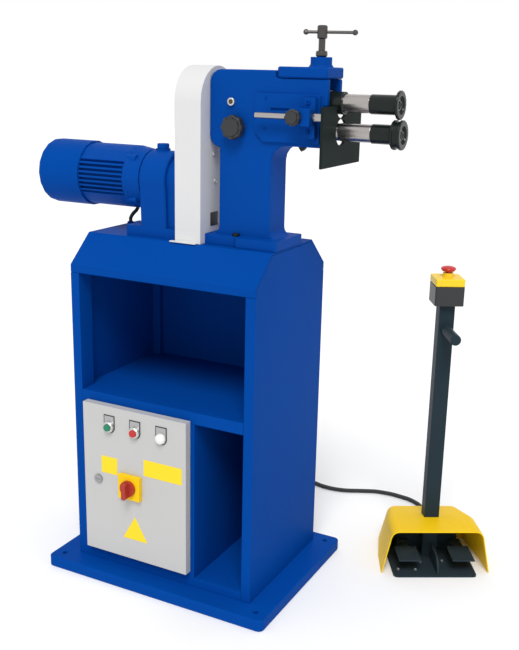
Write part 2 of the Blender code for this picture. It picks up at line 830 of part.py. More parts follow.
def make_deck(name, top, lip_bottom, finishes):
    """A sheet deck with a lip folded down along its front edge."""
    half = HALF_WIDTH - SHEET - GAP
    back = CABINET_BACK - SHEET - GAP
    outline = deck_outline(half, CABINET_FRONT, back)
    deck = place(name, prism(outline, "Z", top - SHEET, top), finishes["blue"])
    notch = HALF_WIDTH - POST_WIDTH - GAP
    join(deck, box((-notch, CABINET_FRONT, lip_bottom), (notch, CABINET_FRONT + SHEET, top - SHEET / 2)))
    return deck


def make_shelf(finishes):
    shelf = make_deck("shelf", SHELF_TOP_Z, SHELF_TOP_Z - SHELF_LIP, finishes)
    back = CABINET_BACK - SHEET
    left = -HALF_WIDTH
    cut(shelf, box((left, back - DUCT_DEPTH - GAP, SHELF_TOP_Z - SHEET - OVERRUN),
                   (left + SHEET + DUCT_WIDTH + 2 * GAP, back + OVERRUN, SHELF_TOP_Z + OVERRUN)))
    return shelf


def make_floor_pan(finishes):
    """The lower deck with the filler strips that close the gap beside the enclosure."""
    floor = make_deck("floor_pan", FLOOR_TOP_Z, BASE_THICK + GAP, finishes)
    left = -(HALF_WIDTH - POST_WIDTH - GAP)
    right = DIVIDER_X - DIVIDER_FLANGE
    front = CABINET_FRONT
    filler = prism([
        (left, FLOOR_TOP_Z - SHEET),
        (right - GAP, FLOOR_TOP_Z - SHEET),
        (right - GAP, FLOOR_TOP_Z + FILLER_HEIGHT),
        (left + FILLER_WIDTH, FLOOR_TOP_Z + FILLER_HEIGHT),
        (left + FILLER_WIDTH, SHELF_TOP_Z - SHELF_LIP - GAP),
        (left, SHELF_TOP_Z - SHELF_LIP - GAP),
    ], "Y", front, front + SHEET)
    join(floor, filler)
    return floor


def make_divider(finishes):
    bottom = FLOOR_TOP_Z + GAP
    front = CABINET_FRONT
    back = CABINET_BACK - SHEET - GAP
    top = SHELF_TOP_Z - SHEET - GAP
    lip_back = front + SHEET + GAP
    outline = [(front, bottom), (back, bottom), (back, top), (lip_back, top),
               (lip_back, SHELF_TOP_Z - SHELF_LIP - GAP), (front, SHELF_TOP_Z - SHELF_LIP - GAP)]
    divider = place("divider", prism(outline, "X", DIVIDER_X, DIVIDER_X + SHEET), finishes["blue"])
    join(divider, box((DIVIDER_X - DIVIDER_FLANGE, front, bottom),
                      (DIVIDER_X + SHEET / 2, front + SHEET, SHELF_TOP_Z - SHELF_LIP - GAP)))
    return divider


def make_back_panel(finishes):
    """The back sheet, with the cable duct up its left corner inside."""
    half = HALF_WIDTH - SHEET - GAP
    back = CABINET_BACK
    top = HEADER_BOTTOM_Z - GAP
    bottom = BASE_THICK + GAP
    panel = place("back_panel", box((-half, back - SHEET, bottom), (half, back, top)), finishes["blue"])
    join(panel, box((-half, back - SHEET - DUCT_DEPTH, FLOOR_TOP_Z + GAP),
                    (-half + DUCT_WIDTH, back - SHEET / 2, top)))
    cut(panel, rod(GLAND_DIAMETER / 2 + GAP, "Y", (GLAND_X, 0, GLAND_Z), back - SHEET - OVERRUN,
                   back + OVERRUN, MEDIUM_STEPS))
    return panel


def make_cabinet(finishes):
    make_base_plate(finishes)
    make_side_panel("side_panel_left", -1, finishes)
    make_side_panel("side_panel_right", 1, finishes)
    make_top_cover(finishes)
    make_shelf(finishes)
    make_floor_pan(finishes)
    make_divider(finishes)
    make_back_panel(finishes)


# Control enclosure

def hinge_heights():
    return [ENCLOSURE_CENTRE_Z + side * HINGE_SPACING / 2 for side in (-1, 1)]


def make_enclosure_body(finishes):
    """A deep steel box with a rim round its mouth, two hinge arms and four stand-offs."""
    wall = ENCLOSURE_WALL
    low = (ENCLOSURE_LEFT, RIM_Y, ENCLOSURE_BOTTOM)
    high = (ENCLOSURE_RIGHT, ENCLOSURE_BACK, ENCLOSURE_TOP)
    body = place("enclosure_body", box(low, high), finishes["grey"])
    hollow = box([value + wall for value in low], [value - wall for value in high])
    mouth = box((low[0] + ENCLOSURE_RIM, low[1] - OVERRUN, low[2] + ENCLOSURE_RIM),
                (high[0] - ENCLOSURE_RIM, low[1] + OVERRUN, high[2] - ENCLOSURE_RIM))
    cut(body, hollow, mouth, crossing=True)
    fittings = []
    for height in hinge_heights():
        leg_left = HINGE_X - HINGE_REACH
        low_z = height - HINGE_HEIGHT / 2
        high_z = height + HINGE_HEIGHT / 2
        arm = prism([
            (leg_left, RIM_Y + wall / 2),
            (leg_left, HINGE_Y - HINGE_ARM / 2),
            (HINGE_X, HINGE_Y - HINGE_ARM / 2),
            (HINGE_X, HINGE_Y + HINGE_ARM / 2),
            (leg_left + HINGE_LEAF, HINGE_Y + HINGE_ARM / 2),
            (leg_left + HINGE_LEAF, RIM_Y + wall / 2),
        ], "Z", low_z, high_z)
        fittings.append(arm)
        reach = HINGE_HEIGHT / 2 + KNUCKLE_HEIGHT
        fittings.append(rod(HINGE_PIN / 2, "Z", (HINGE_X, HINGE_Y, height), -reach, reach, SMALL_STEPS))
    for x, z in standoff_places():
        fittings.append(box((x - STANDOFF_SIZE / 2, high[1] - wall - STANDOFF_LENGTH, z - STANDOFF_SIZE / 2),
                            (x + STANDOFF_SIZE / 2, high[1] - wall / 2, z + STANDOFF_SIZE / 2)))
    join(body, *fittings, crossing=True)
    return body


def standoff_places():
    reach_x = ENCLOSURE_WIDTH / 2 - PLATE_MARGIN - STANDOFF_INSET
    reach_z = ENCLOSURE_HEIGHT / 2 - PLATE_MARGIN - STANDOFF_INSET
    return [(ENCLOSURE_CENTRE_X + side * reach_x, ENCLOSURE_CENTRE_Z + end * reach_z)
            for side in (-1, 1) for end in (-1, 1)]


def make_enclosure_inside(finishes):
    back = ENCLOSURE_BACK - ENCLOSURE_WALL - STANDOFF_LENGTH - GAP
    half = (ENCLOSURE_WIDTH / 2 - PLATE_MARGIN, ENCLOSURE_HEIGHT / 2 - PLATE_MARGIN)
    x = ENCLOSURE_CENTRE_X
    z = ENCLOSURE_CENTRE_Z
    place("mounting_plate", box((x - half[0], back - PLATE_THICK, z - half[1]),
                                (x + half[0], back, z + half[1])), finishes["zinc"])
    front = back - PLATE_THICK - GAP
    blocks = []
    for index in range(CONTACTOR_COUNT):
        left = x + (index - (CONTACTOR_COUNT - 1) / 2) * CONTACTOR_PITCH - CONTACTOR_WIDTH / 2
        low = z - CONTACTOR_HEIGHT / 2
        high = z + CONTACTOR_HEIGHT / 2
        nose = front - CONTACTOR_DEPTH
        step = front - CONTACTOR_DEPTH / 2
        blocks.append(prism([
            (front, low),
            (step, low),
            (step, low + CONTACTOR_STEP),
            (nose, low + CONTACTOR_STEP),
            (nose, high - CONTACTOR_STEP),
            (step, high - CONTACTOR_STEP),
            (step, high),
            (front, high),
        ], "X", left, left + CONTACTOR_WIDTH))
    rail = box((x - half[0] + STANDOFF_INSET, front - PLATE_THICK, z - CONTACTOR_STEP),
               (x + half[0] - STANDOFF_INSET, front, z + CONTACTOR_STEP))
    contactors = place("contactors", blocks[0], finishes["black"], smooth=False)
    join(contactors, rail, *blocks[1:], crossing=True)


def make_door(finishes):
    """A shallow tray door with knuckles that turn on the enclosure's pins."""
    origin = (HINGE_X, HINGE_Y, ENCLOSURE_CENTRE_Z)
    low = (DOOR_LEFT, DOOR_FRONT, ENCLOSURE_CENTRE_Z - DOOR_HEIGHT / 2)
    high = (DOOR_RIGHT, DOOR_BACK, ENCLOSURE_CENTRE_Z + DOOR_HEIGHT / 2)
    wall = DOOR_WALL
    door = place("enclosure_door", box(low, high), finishes["grey"], origin)
    cut(door, box((low[0] + wall, low[1] + wall, low[2] + wall),
                  (high[0] - wall, high[1] + OVERRUN, high[2] - wall)))
    knuckles = []
    holes = []
    for height in hinge_heights():
        for side in (-1, 1):
            near = height + side * (HINGE_HEIGHT / 2 + GAP)
            far = near + side * (KNUCKLE_HEIGHT - GAP)
            knuckles.append(box((HINGE_X - KNUCKLE_SIZE / 2, HINGE_Y - KNUCKLE_SIZE / 2, min(near, far)),
                                (high[0] - wall / 2, HINGE_Y + KNUCKLE_SIZE / 2, max(near, far))))
        reach = HINGE_HEIGHT / 2 + KNUCKLE_HEIGHT + OVERRUN
        holes.append(bore(HINGE_PIN / 2, "Z", (HINGE_X, HINGE_Y, height), -reach, reach, SMALL_STEPS,
                          RUNNING_GAP))
    join(door, *knuckles)
    for x in (START_X, START_X + BUTTON_PITCH, START_X + 2 * BUTTON_PITCH):
        holes.append(bore(BEZEL_BODY / 2, "Y", (x, 0, BUTTON_ROW_Z), low[1] - OVERRUN,
                          low[1] + OVERRUN, MEDIUM_STEPS))
    holes.append(bore(LOCK_BARREL / 2, "Y", (LOCK_X, 0, LOCK_Z), low[1] - OVERRUN,
                      low[1] + OVERRUN, MEDIUM_STEPS, RUNNING_GAP))
    half = SWITCH_BODY / 2 + GAP
    holes.append(box((SWITCH_X - half, low[1] - OVERRUN, SWITCH_Z - half),
                     (SWITCH_X + half, low[1] + OVERRUN, SWITCH_Z + half)))
    cut(door, *holes)
    return door


def make_push_button(name, x, colour, finishes):
    """A bezel through the door with a button that slides in it."""
    centre = (x, 0, BUTTON_ROW_Z)
    face = DOOR_FRONT - GAP
    inner = bore_radius(BUTTON_DIAMETER / 2, RUNNING_GAP, MEDIUM_STEPS)
    front = face - BEZEL_HEIGHT
    back = DOOR_FRONT + BEZEL_BODY_DEPTH
    lip = BEZEL_HEIGHT / 4
    profile = [
        (0, back - lip),
        (inner, back - lip),
        (inner, front),
        (BEZEL_DIAMETER / 2 - lip, front),
        (BEZEL_DIAMETER / 2, front + lip),
        (BEZEL_DIAMETER / 2, face),
        (BEZEL_BODY / 2, face),
        (BEZEL_BODY / 2, back),
        (0, back),
    ]
    place(f"{name}_bezel", turned(profile, "Y", centre, MEDIUM_STEPS), finishes["zinc"])
    bottom = back - lip - BUTTON_TRAVEL - 2 * GAP
    cap = [
        (0, front - BUTTON_PROUD),
        (BUTTON_DIAMETER / 2 - GAP, front - BUTTON_PROUD),
        (BUTTON_DIAMETER / 2, front - BUTTON_PROUD + GAP),
        (BUTTON_DIAMETER / 2, bottom),
        (0, bottom),
    ]
    place(f"{name}_button", turned(cap, "Y", centre, MEDIUM_STEPS), finishes[colour],
          (x, front, BUTTON_ROW_Z))


def make_pilot_lamp(finishes):
    centre = (START_X + 2 * BUTTON_PITCH, 0, BUTTON_ROW_Z)
    face = DOOR_FRONT - GAP
    radius = LAMP_DIAMETER / 2
    profile = [(0, face - LAMP_HEIGHT)]
    for step in range(1, 4):
        angle = math.pi / 2 * step / 3
        profile.append((radius * math.sin(angle), face - LAMP_HEIGHT / 2 - LAMP_HEIGHT / 2 * math.cos(angle)))
    profile += [
        (radius, face),
        (BEZEL_BODY / 2, face),
        (BEZEL_BODY / 2, DOOR_FRONT + BEZEL_BODY_DEPTH),
        (0, DOOR_FRONT + BEZEL_BODY_DEPTH),
    ]
    place("pilot_lamp", turned(profile, "Y", centre, MEDIUM_STEPS), finishes["lens"])


def make_main_switch(finishes):
    face = DOOR_FRONT - GAP
    front = face - SWITCH_PLATE_HEIGHT
    half = SWITCH_PLATE / 2
    body = SWITCH_BODY / 2
    plate = centred_box((SWITCH_X, (face + front) / 2, SWITCH_Z), (2 * half, face - front, 2 * half))
    switch = place("main_switch", plate, finishes["yellow"], smooth=False)
    join(switch, box((SWITCH_X - body, face - GAP, SWITCH_Z - body),
                     (SWITCH_X + body, DOOR_FRONT + SWITCH_BODY_DEPTH, SWITCH_Z + body)))
    centre = (SWITCH_X, 0, SWITCH_Z)
    cut(switch, bore(SWITCH_STEM / 2, "Y", centre, front - OVERRUN, front + SWITCH_SOCKET, MEDIUM_STEPS,
                     RUNNING_GAP))
    base = front - GAP
    top = base - SWITCH_KNOB_HEIGHT
    disc = [(0, top), (SWITCH_KNOB / 2 - GAP, top), (SWITCH_KNOB / 2, top + GAP), (SWITCH_KNOB / 2, base),
            (SWITCH_STEM / 2, base), (SWITCH_STEM / 2, front + SWITCH_SOCKET - GAP),
            (0, front + SWITCH_SOCKET - GAP)]
    knob = place("main_switch_knob", turned(disc, "Y", centre, LARGE_STEPS), finishes["knob_red"],
                 (SWITCH_X, front, SWITCH_Z))
    tip = SWITCH_GRIP / 4
    grip = prism([
        (SWITCH_X - SWITCH_GRIP / 2, SWITCH_Z + SWITCH_KNOB / 2 - tip),
        (SWITCH_X - SWITCH_GRIP / 2, SWITCH_Z - SWITCH_KNOB / 2),
        (SWITCH_X - tip, SWITCH_Z - SWITCH_POINTER / 2),
        (SWITCH_X + tip, SWITCH_Z - SWITCH_POINTER / 2),
        (SWITCH_X + SWITCH_GRIP / 2, SWITCH_Z - SWITCH_KNOB / 2),
        (SWITCH_X + SWITCH_GRIP / 2, SWITCH_Z + SWITCH_KNOB / 2 - tip),
    ], "Y", base - GAP, top - SWITCH_GRIP_HEIGHT)
    join(knob, grip)


def make_door_lock(finishes):
    """A quarter-turn lock whose cam swings behind the enclosure's rim."""
    centre = (LOCK_X, 0, LOCK_Z)
    face = DOOR_FRONT - GAP
    cam_front = RIM_Y + ENCLOSURE_WALL + LOCK_CAM_GAP
    cam_back = cam_front + LOCK_CAM_THICK
    cam_middle = (cam_front + cam_back) / 2
    front = face - LOCK_HEAD_HEIGHT
    radius = LOCK_HEAD / 2
    profile = [(0, front), (radius - GAP, front), (radius, front + GAP), (radius, face),
               (LOCK_BARREL / 2, face), (LOCK_BARREL / 2, cam_middle), (0, cam_middle)]
    lock = place("door_lock", turned(profile, "Y", centre, MEDIUM_STEPS), finishes["zinc"],
                 (LOCK_X, face, LOCK_Z))
    half = LOCK_CAM_WIDTH / 2
    join(lock, box((LOCK_X - half, cam_front, LOCK_Z - half),
                   (LOCK_X + half, cam_back, LOCK_Z + LOCK_CAM_LENGTH - half)))
    cut(lock, centred_box((LOCK_X, front, LOCK_Z), (LOCK_SLOT_LENGTH, LOCK_SLOT, LOCK_SLOT)))


def make_enclosure(finishes):
    make_enclosure_body(finishes)
    make_enclosure_inside(finishes)
    make_door(finishes)
    make_push_button("start", START_X, "green", finishes)
    make_push_button("stop", START_X + BUTTON_PITCH, "red", finishes)
    make_pilot_lamp(finishes)
    make_main_switch(finishes)
    make_door_lock(finishes)


# Head

def gear_outline(module, teeth, centre, phase):
    """Involute teeth as root, pitch and tip points, with the middle of one tooth at the phase."""
    pitch = module * teeth / 2
    pressure = math.radians(PRESSURE_ANGLE)
    base = pitch * math.cos(pressure)
    spread = math.tan(pressure) - pressure
    radii = [pitch - module * DEDENDUM_SHARE, pitch, pitch + module * ADDENDUM_SHARE]
    flank = []
    for radius in radii:
        slope = math.acos(base / max(radius, base))
        half = math.pi / (2 * teeth) + spread - (math.tan(slope) - slope) - GEAR_BACKLASH / (2 * radius)
        flank.append((radius, half))
    outline = []
    for tooth in range(teeth):
        middle = phase + math.tau * tooth / teeth
        rise = [(radius, middle - half) for radius, half in flank]
        fall = [(radius, middle + half) for radius, half in reversed(flank)]
        for radius, angle in rise + fall:
            outline.append((centre[0] + radius * math.cos(angle), centre[1] + radius * math.sin(angle)))
    return outline


def make_head_casting(finishes):
    foot_bottom = CABINET_TOP_Z + GAP
    toe = FOOT_TOP_Z - FOOT_SINK
    toe_left = COLUMN_LEFT - FOOT_FILLET - TOE_LENGTH
    toe_right = COLUMN_RIGHT + FOOT_FILLET + TOE_LENGTH
    seat = CAP_BOTTOM_Z - GAP
    outline = rounded([
        (toe_left, FOOT_TOP_Z - FOOT_THICK / 2, 0),
        (toe_right, FOOT_TOP_Z - FOOT_THICK / 2, 0),
        (toe_right, toe, 0),
        (COLUMN_RIGHT, toe, FOOT_FILLET),
        (COLUMN_RIGHT, JAW_BOTTOM_Z, ARM_FILLET),
        (JAW_RIGHT, JAW_BOTTOM_Z, 0),
        (JAW_RIGHT, HEAD_STEP_Z, 0),
        (HEAD_RIGHT, HEAD_STEP_Z, 0),
        (HEAD_RIGHT, seat, 0),
        (CAP_LEFT - GAP, seat, 0),
        (CAP_LEFT - GAP, HEAD_TOP_Z, 0),
        (HEAD_LEFT, HEAD_TOP_Z, HEAD_TOP_ROUND),
        (HEAD_LEFT, HEAD_CORNER_Z, COLUMN_LEFT - HEAD_LEFT),
        (COLUMN_LEFT, HEAD_CORNER_Z, 0),
        (COLUMN_LEFT, toe, FOOT_FILLET),
        (toe_left, toe, 0),
    ])
    casting = place("head_casting", prism(outline, "Y", HEAD_FRONT, HEAD_BACK), finishes["blue"])
    soften(casting, HEAD_EDGE)
    foot = prism(rounded([
        (FOOT_LEFT, FOOT_FRONT + FOOT_STEP_DEPTH, FOOT_ROUND),
        (FOOT_STEP_X, FOOT_FRONT + FOOT_STEP_DEPTH, 0),
        (FOOT_STEP_X + FOOT_STEP_DEPTH, FOOT_FRONT, 0),
        (FOOT_RIGHT, FOOT_FRONT, FOOT_ROUND),
        (FOOT_RIGHT, FOOT_BACK, FOOT_ROUND),
        (FOOT_LEFT, FOOT_BACK, FOOT_ROUND),
    ], 2), "Z", foot_bottom, FOOT_TOP_Z)
    panel = prism(rounded([
        (PANEL_LEFT + PANEL_CHAMFER, PANEL_BOTTOM_Z, PANEL_ROUND),
        (JAW_RIGHT - HEAD_EDGE, PANEL_BOTTOM_Z, PANEL_ROUND),
        (JAW_RIGHT - HEAD_EDGE, PANEL_TOP_Z, PANEL_ROUND),
        (PANEL_LEFT, PANEL_TOP_Z, PANEL_ROUND),
        (PANEL_LEFT, PANEL_BOTTOM_Z + PANEL_CHAMFER, PANEL_ROUND),
    ], 2), "Y", PANEL_FRONT, HEAD_FRONT + HEAD_EDGE)
    join(casting, foot, panel)
    reach = SHAFT_GEAR_OUTER
    journal = JOURNAL_DIAMETER / 2
    lower = (0, SHAFT_Y, LOWER_SHAFT_Z)
    upper = (0, SHAFT_Y, UPPER_SHAFT_Z)
    half = journal + PASSAGE_MARGIN
    chamber = box((CHAMBER_LEFT, SHAFT_Y - reach - CHAMBER_FRONT_GAP, LOWER_SHAFT_Z - reach - CHAMBER_CLEARANCE),
                  (CHAMBER_RIGHT, HEAD_BACK + OVERRUN, UPPER_SHAFT_Z + reach + CHAMBER_CLEARANCE))
    slot = box((SLOT_LEFT, SHAFT_Y - SLOT_HALF_WIDTH, SLOT_BOTTOM_Z),
               (HEAD_RIGHT + OVERRUN, SHAFT_Y + SLOT_HALF_WIDTH, CAP_BOTTOM_Z + OVERRUN))
    passage = box((CHAMBER_RIGHT - OVERRUN, SHAFT_Y - half, UPPER_SHAFT_Z - half),
                  (SLOT_LEFT + OVERRUN, SHAFT_Y + half, UPPER_SHAFT_Z + half + TILT_LIFT))
    cut(casting, chamber, slot, passage, crossing=True)
    cut(casting,
        bore(REAR_BUSH_RADIUS, "X", upper, HEAD_LEFT - OVERRUN, CHAMBER_LEFT + OVERRUN, LARGE_STEPS),
        bore(journal, "X", lower, HEAD_LEFT - OVERRUN, CHAMBER_LEFT + OVERRUN, LARGE_STEPS, RUNNING_GAP),
        bore(journal, "X", lower, CHAMBER_RIGHT - OVERRUN, BUSH_LEFT, LARGE_STEPS, LOWER_PASSAGE_MARGIN),
        bore(SHAFT_DIAMETER / 2 + BUSH_WALL, "X", lower, BUSH_LEFT - GAP, JAW_RIGHT + OVERRUN, LARGE_STEPS),
        bore(SIGHT_SPIGOT / 2, "Y", (SIGHT_X, 0, SIGHT_Z), HEAD_FRONT - OVERRUN,
             HEAD_FRONT + SIGHT_DEPTH + GAP, SMALL_STEPS),
        bore(STEM_DIAMETER / 2, "Y", (SHAFT_KNOB_X, 0, SHAFT_KNOB_Z), HEAD_FRONT - OVERRUN,
             HEAD_FRONT + STEM_DEPTH + GAP, SMALL_STEPS, RUNNING_GAP),
        box((PANEL_SLOT_LEFT, PANEL_FRONT - OVERRUN, PANEL_SLOT_Z - PANEL_SLOT_HEIGHT / 2),
            (PANEL_SLOT_RIGHT, PANEL_FRONT + PANEL_SLOT_DEPTH, PANEL_SLOT_Z + PANEL_SLOT_HEIGHT / 2)),
        crossing=True)
    return casting


def make_head_cap(finishes):
    outline = rounded([
        (CAP_LEFT, CAP_FRONT, CAP_ROUND),
        (HEAD_RIGHT, CAP_FRONT, 0),
        (HEAD_RIGHT, HEAD_BACK + CAP_OVERHANG, 0),
        (CAP_LEFT, HEAD_BACK + CAP_OVERHANG, CAP_ROUND),
    ])
    cap = place("head_cap", prism(outline, "Z", CAP_BOTTOM_Z, CAP_TOP_Z), finishes["blue"])
    soften(cap, CAP_EDGE, 1)
    centre = (SCREW_X, SHAFT_Y, 0)
    boss = CAP_BOSS_DIAMETER / 2
    flare = CAP_BOSS_FLARE / 2
    join(cap, turned([
        (0, CAP_TOP_Z - CAP_EDGE),
        (flare, CAP_TOP_Z - CAP_EDGE),
        (boss, CAP_TOP_Z + flare - boss),
        (boss, CAP_BOSS_TOP_Z),
        (0, CAP_BOSS_TOP_Z),
    ], "Z", centre, LARGE_STEPS))
    cut(cap, bore(SCREW_DIAMETER / 2, "Z", centre, CAP_BOTTOM_Z - OVERRUN, CAP_BOSS_TOP_Z + OVERRUN,
                  MEDIUM_STEPS, RUNNING_GAP))
    return cap


def make_gear_cover(finishes):
    reach = SHAFT_GEAR_OUTER + CHAMBER_CLEARANCE + COVER_LAP
    outline = rounded_box_outline(
        (CHAMBER_LEFT - COVER_LAP, LOWER_SHAFT_Z - reach), (CHAMBER_RIGHT + COVER_LAP, UPPER_SHAFT_Z + reach),
        COVER_ROUND)
    back = HEAD_BACK + GAP
    place("gear_cover", prism(outline, "Y", back, back + COVER_THICK), finishes["blue"])


def make_bearings(finishes):
    lower = (0, SHAFT_Y, LOWER_SHAFT_Z)
    upper = (0, SHAFT_Y, UPPER_SHAFT_Z)
    inner = bore_radius(SHAFT_DIAMETER / 2, RUNNING_GAP, LARGE_STEPS)
    outer = SHAFT_DIAMETER / 2 + BUSH_WALL
    place("lower_bush", turned([(inner, BUSH_LEFT), (outer, BUSH_LEFT), (outer, JAW_RIGHT), (inner, JAW_RIGHT)],
                               "X", lower, LARGE_STEPS, closed=True), finishes["bronze"])
    left = HEAD_LEFT + TILT_CLEARANCE
    right = CHAMBER_LEFT - TILT_CLEARANCE
    inner = bore_radius(JOURNAL_DIAMETER / 2, RUNNING_GAP, LARGE_STEPS)
    profile = [(inner, right), (inner, left)]
    for band in range(REAR_BUSH_BANDS + 1):
        x = left + (right - left) * band / REAR_BUSH_BANDS
        profile.append((math.sqrt(REAR_BUSH_RADIUS ** 2 - (x - REAR_PIVOT_X) ** 2), x))
    place("upper_rear_bush", turned(profile, "X", upper, LARGE_STEPS, closed=True), finishes["bronze"],
          (REAR_PIVOT_X, SHAFT_Y, UPPER_SHAFT_Z))
    half = SLOT_HALF_WIDTH - GAP
    chamfer = BLOCK_CHAMFER
    outline = [
        (SHAFT_Y - half, BLOCK_BOTTOM_Z),
        (SHAFT_Y + half, BLOCK_BOTTOM_Z),
        (SHAFT_Y + half, BLOCK_TOP_Z - chamfer),
        (SHAFT_Y + half - chamfer, BLOCK_TOP_Z),
        (SHAFT_Y - half + chamfer, BLOCK_TOP_Z),
        (SHAFT_Y - half, BLOCK_TOP_Z - chamfer),
    ]
    block = place("upper_bearing_block", prism(outline, "X", BLOCK_LEFT, JAW_RIGHT), finishes["oxide"],
                  (REAR_PIVOT_X, SHAFT_Y, UPPER_SHAFT_Z))
    join(block, rod(COLLAR_DIAMETER / 2, "X", upper, JAW_RIGHT - OVERRUN, COLLAR_RIGHT, LARGE_STEPS))
    cut(block,
        bore(SHAFT_DIAMETER / 2, "X", upper, BUSH_LEFT - GAP, COLLAR_RIGHT + OVERRUN, LARGE_STEPS, RUNNING_GAP),
        bore(JOURNAL_DIAMETER / 2, "X", upper, BLOCK_LEFT - OVERRUN, BUSH_LEFT + OVERRUN, LARGE_STEPS),
        crossing=True)


def shaft_profile(left, shoulder, end):
    journal = JOURNAL_DIAMETER / 2
    chamfer = journal / 15
    body = SHAFT_DIAMETER / 2
    spigot = SPIGOT_DIAMETER / 2
    return [(0, left), (journal - chamfer, left), (journal, left + chamfer), (journal, BUSH_LEFT),
            (body, BUSH_LEFT), (body, shoulder), (spigot, shoulder), (spigot, end), (0, end)]


def make_shaft(name, height, left, shoulder, face, phase, finishes):
    centre = (0, SHAFT_Y, height)
    profile = shaft_profile(left, shoulder, face - ROLLER_RECESS)
    shaft = place(name, turned(profile, "X", centre, LARGE_STEPS), finishes["steel"], (left, SHAFT_Y, height))
    teeth = gear_outline(SHAFT_MODULE, SHAFT_TEETH, (SHAFT_Y, height), phase)
    join(shaft, prism(teeth, "X", SHAFT_GEAR_LEFT, SHAFT_GEAR_LEFT + SHAFT_GEAR_WIDTH))
    return shaft


def make_roller(name, height, shoulder, face, width, diameter, groove, finishes):
    """A roller with its sleeve and a recessed outer face."""
    bored = bore_radius(SPIGOT_DIAMETER / 2, GAP, LARGE_STEPS)
    sleeve = SLEEVE_DIAMETER / 2
    radius = diameter / 2
    left = shoulder + GAP
    side = face - width
    edge = ROLLER_EDGE
    recess = ROLLER_RECESS_DIAMETER / 2
    profile = [(bored, left), (sleeve, left), (sleeve, side), (radius - edge, side), (radius, side + edge)]
    if groove:
        middle = face - width / 2
        half = LOWER_GROOVE_WIDTH / 2
        floor = radius - LOWER_GROOVE_DEPTH
        profile += [(radius, middle - half), (floor, middle - half), (floor, middle + half),
                    (radius, middle + half)]
    profile += [(radius, face - edge), (radius - edge, face), (recess, face),
                (recess - edge, face - ROLLER_RECESS), (bored, face - ROLLER_RECESS)]
    place(name, turned(profile, "X", (0, SHAFT_Y, height), LARGE_STEPS, closed=True), finishes["oxide"],
          (left, SHAFT_Y, height))


def make_shafts(finishes):
    quarter = math.pi / 2
    make_shaft("lower_shaft", LOWER_SHAFT_Z, LOWER_SHAFT_LEFT, LOWER_SHAFT_SHOULDER, LOWER_ROLLER_FACE,
               quarter, finishes)
    make_shaft("upper_shaft", UPPER_SHAFT_Z, HEAD_LEFT + TILT_CLEARANCE, UPPER_SHAFT_SHOULDER,
               UPPER_ROLLER_FACE, -quarter + math.pi / SHAFT_TEETH, finishes)
    make_roller("lower_roller", LOWER_SHAFT_Z, LOWER_SHAFT_SHOULDER, LOWER_ROLLER_FACE, LOWER_ROLLER_WIDTH,
                LOWER_ROLLER_DIAMETER, True, finishes)
    make_roller("upper_roller", UPPER_SHAFT_Z, UPPER_SHAFT_SHOULDER, UPPER_ROLLER_FACE, UPPER_ROLLER_WIDTH,
                UPPER_ROLLER_DIAMETER, False, finishes)


def make_oil_sight(finishes):
    front = HEAD_FRONT - GAP
    radius = SIGHT_DIAMETER / 2
    edge = SIGHT_WELL_DEPTH / 2
    well = SIGHT_WELL / 2
    profile = [
        (0, front - SIGHT_HEIGHT + SIGHT_WELL_DEPTH),
        (well, front - SIGHT_HEIGHT + SIGHT_WELL_DEPTH),
        (well, front - SIGHT_HEIGHT),
        (radius - edge, front - SIGHT_HEIGHT),
        (radius, front - SIGHT_HEIGHT + edge),
        (radius, front),
        (SIGHT_SPIGOT / 2, front),
        (SIGHT_SPIGOT / 2, HEAD_FRONT + SIGHT_DEPTH),
        (0, HEAD_FRONT + SIGHT_DEPTH),
    ]
    place("oil_sight", turned(profile, "Y", (SIGHT_X, 0, SIGHT_Z), MEDIUM_STEPS), finishes["zinc"])


def star_outline(centre, diameter):
    """A hand knob's edge, a circle that waves in and out once for each lobe."""
    outline = []
    for index in range(STAR_POINTS):
        angle = math.tau * index / STAR_POINTS
        wave = 1 - STAR_DEPTH_SHARE * (1 - math.cos(STAR_LOBES * angle)) / 2
        radius = diameter / 2 * wave
        outline.append((centre[0] + radius * math.cos(angle), centre[1] + radius * math.sin(angle)))
    return outline


def make_star_knob(name, centre, seat, standoff, diameter, height, stem, depth, finishes):
    x, z = centre
    back = seat - standoff
    front = back - height
    knob = place(name, prism(star_outline(centre, diameter), "Y", front, back), finishes["black"], (x, seat, z))
    soften(knob, STAR_DISH_DEPTH, 1, 60)
    collar = stem * STAR_COLLAR_SHARE
    join(knob, turned([(0, back - height / 2), (collar, back - height / 2), (collar, seat - GAP),
                       (stem / 2, seat - GAP), (stem / 2, seat + depth), (0, seat + depth)],
                      "Y", (x, 0, z), SMALL_STEPS))
    dish = diameter / 2 * STAR_DISH_SHARE
    cut(knob, rod(dish, "Y", (x, 0, z), front - OVERRUN, front + STAR_DISH_DEPTH, MEDIUM_STEPS))
    return knob


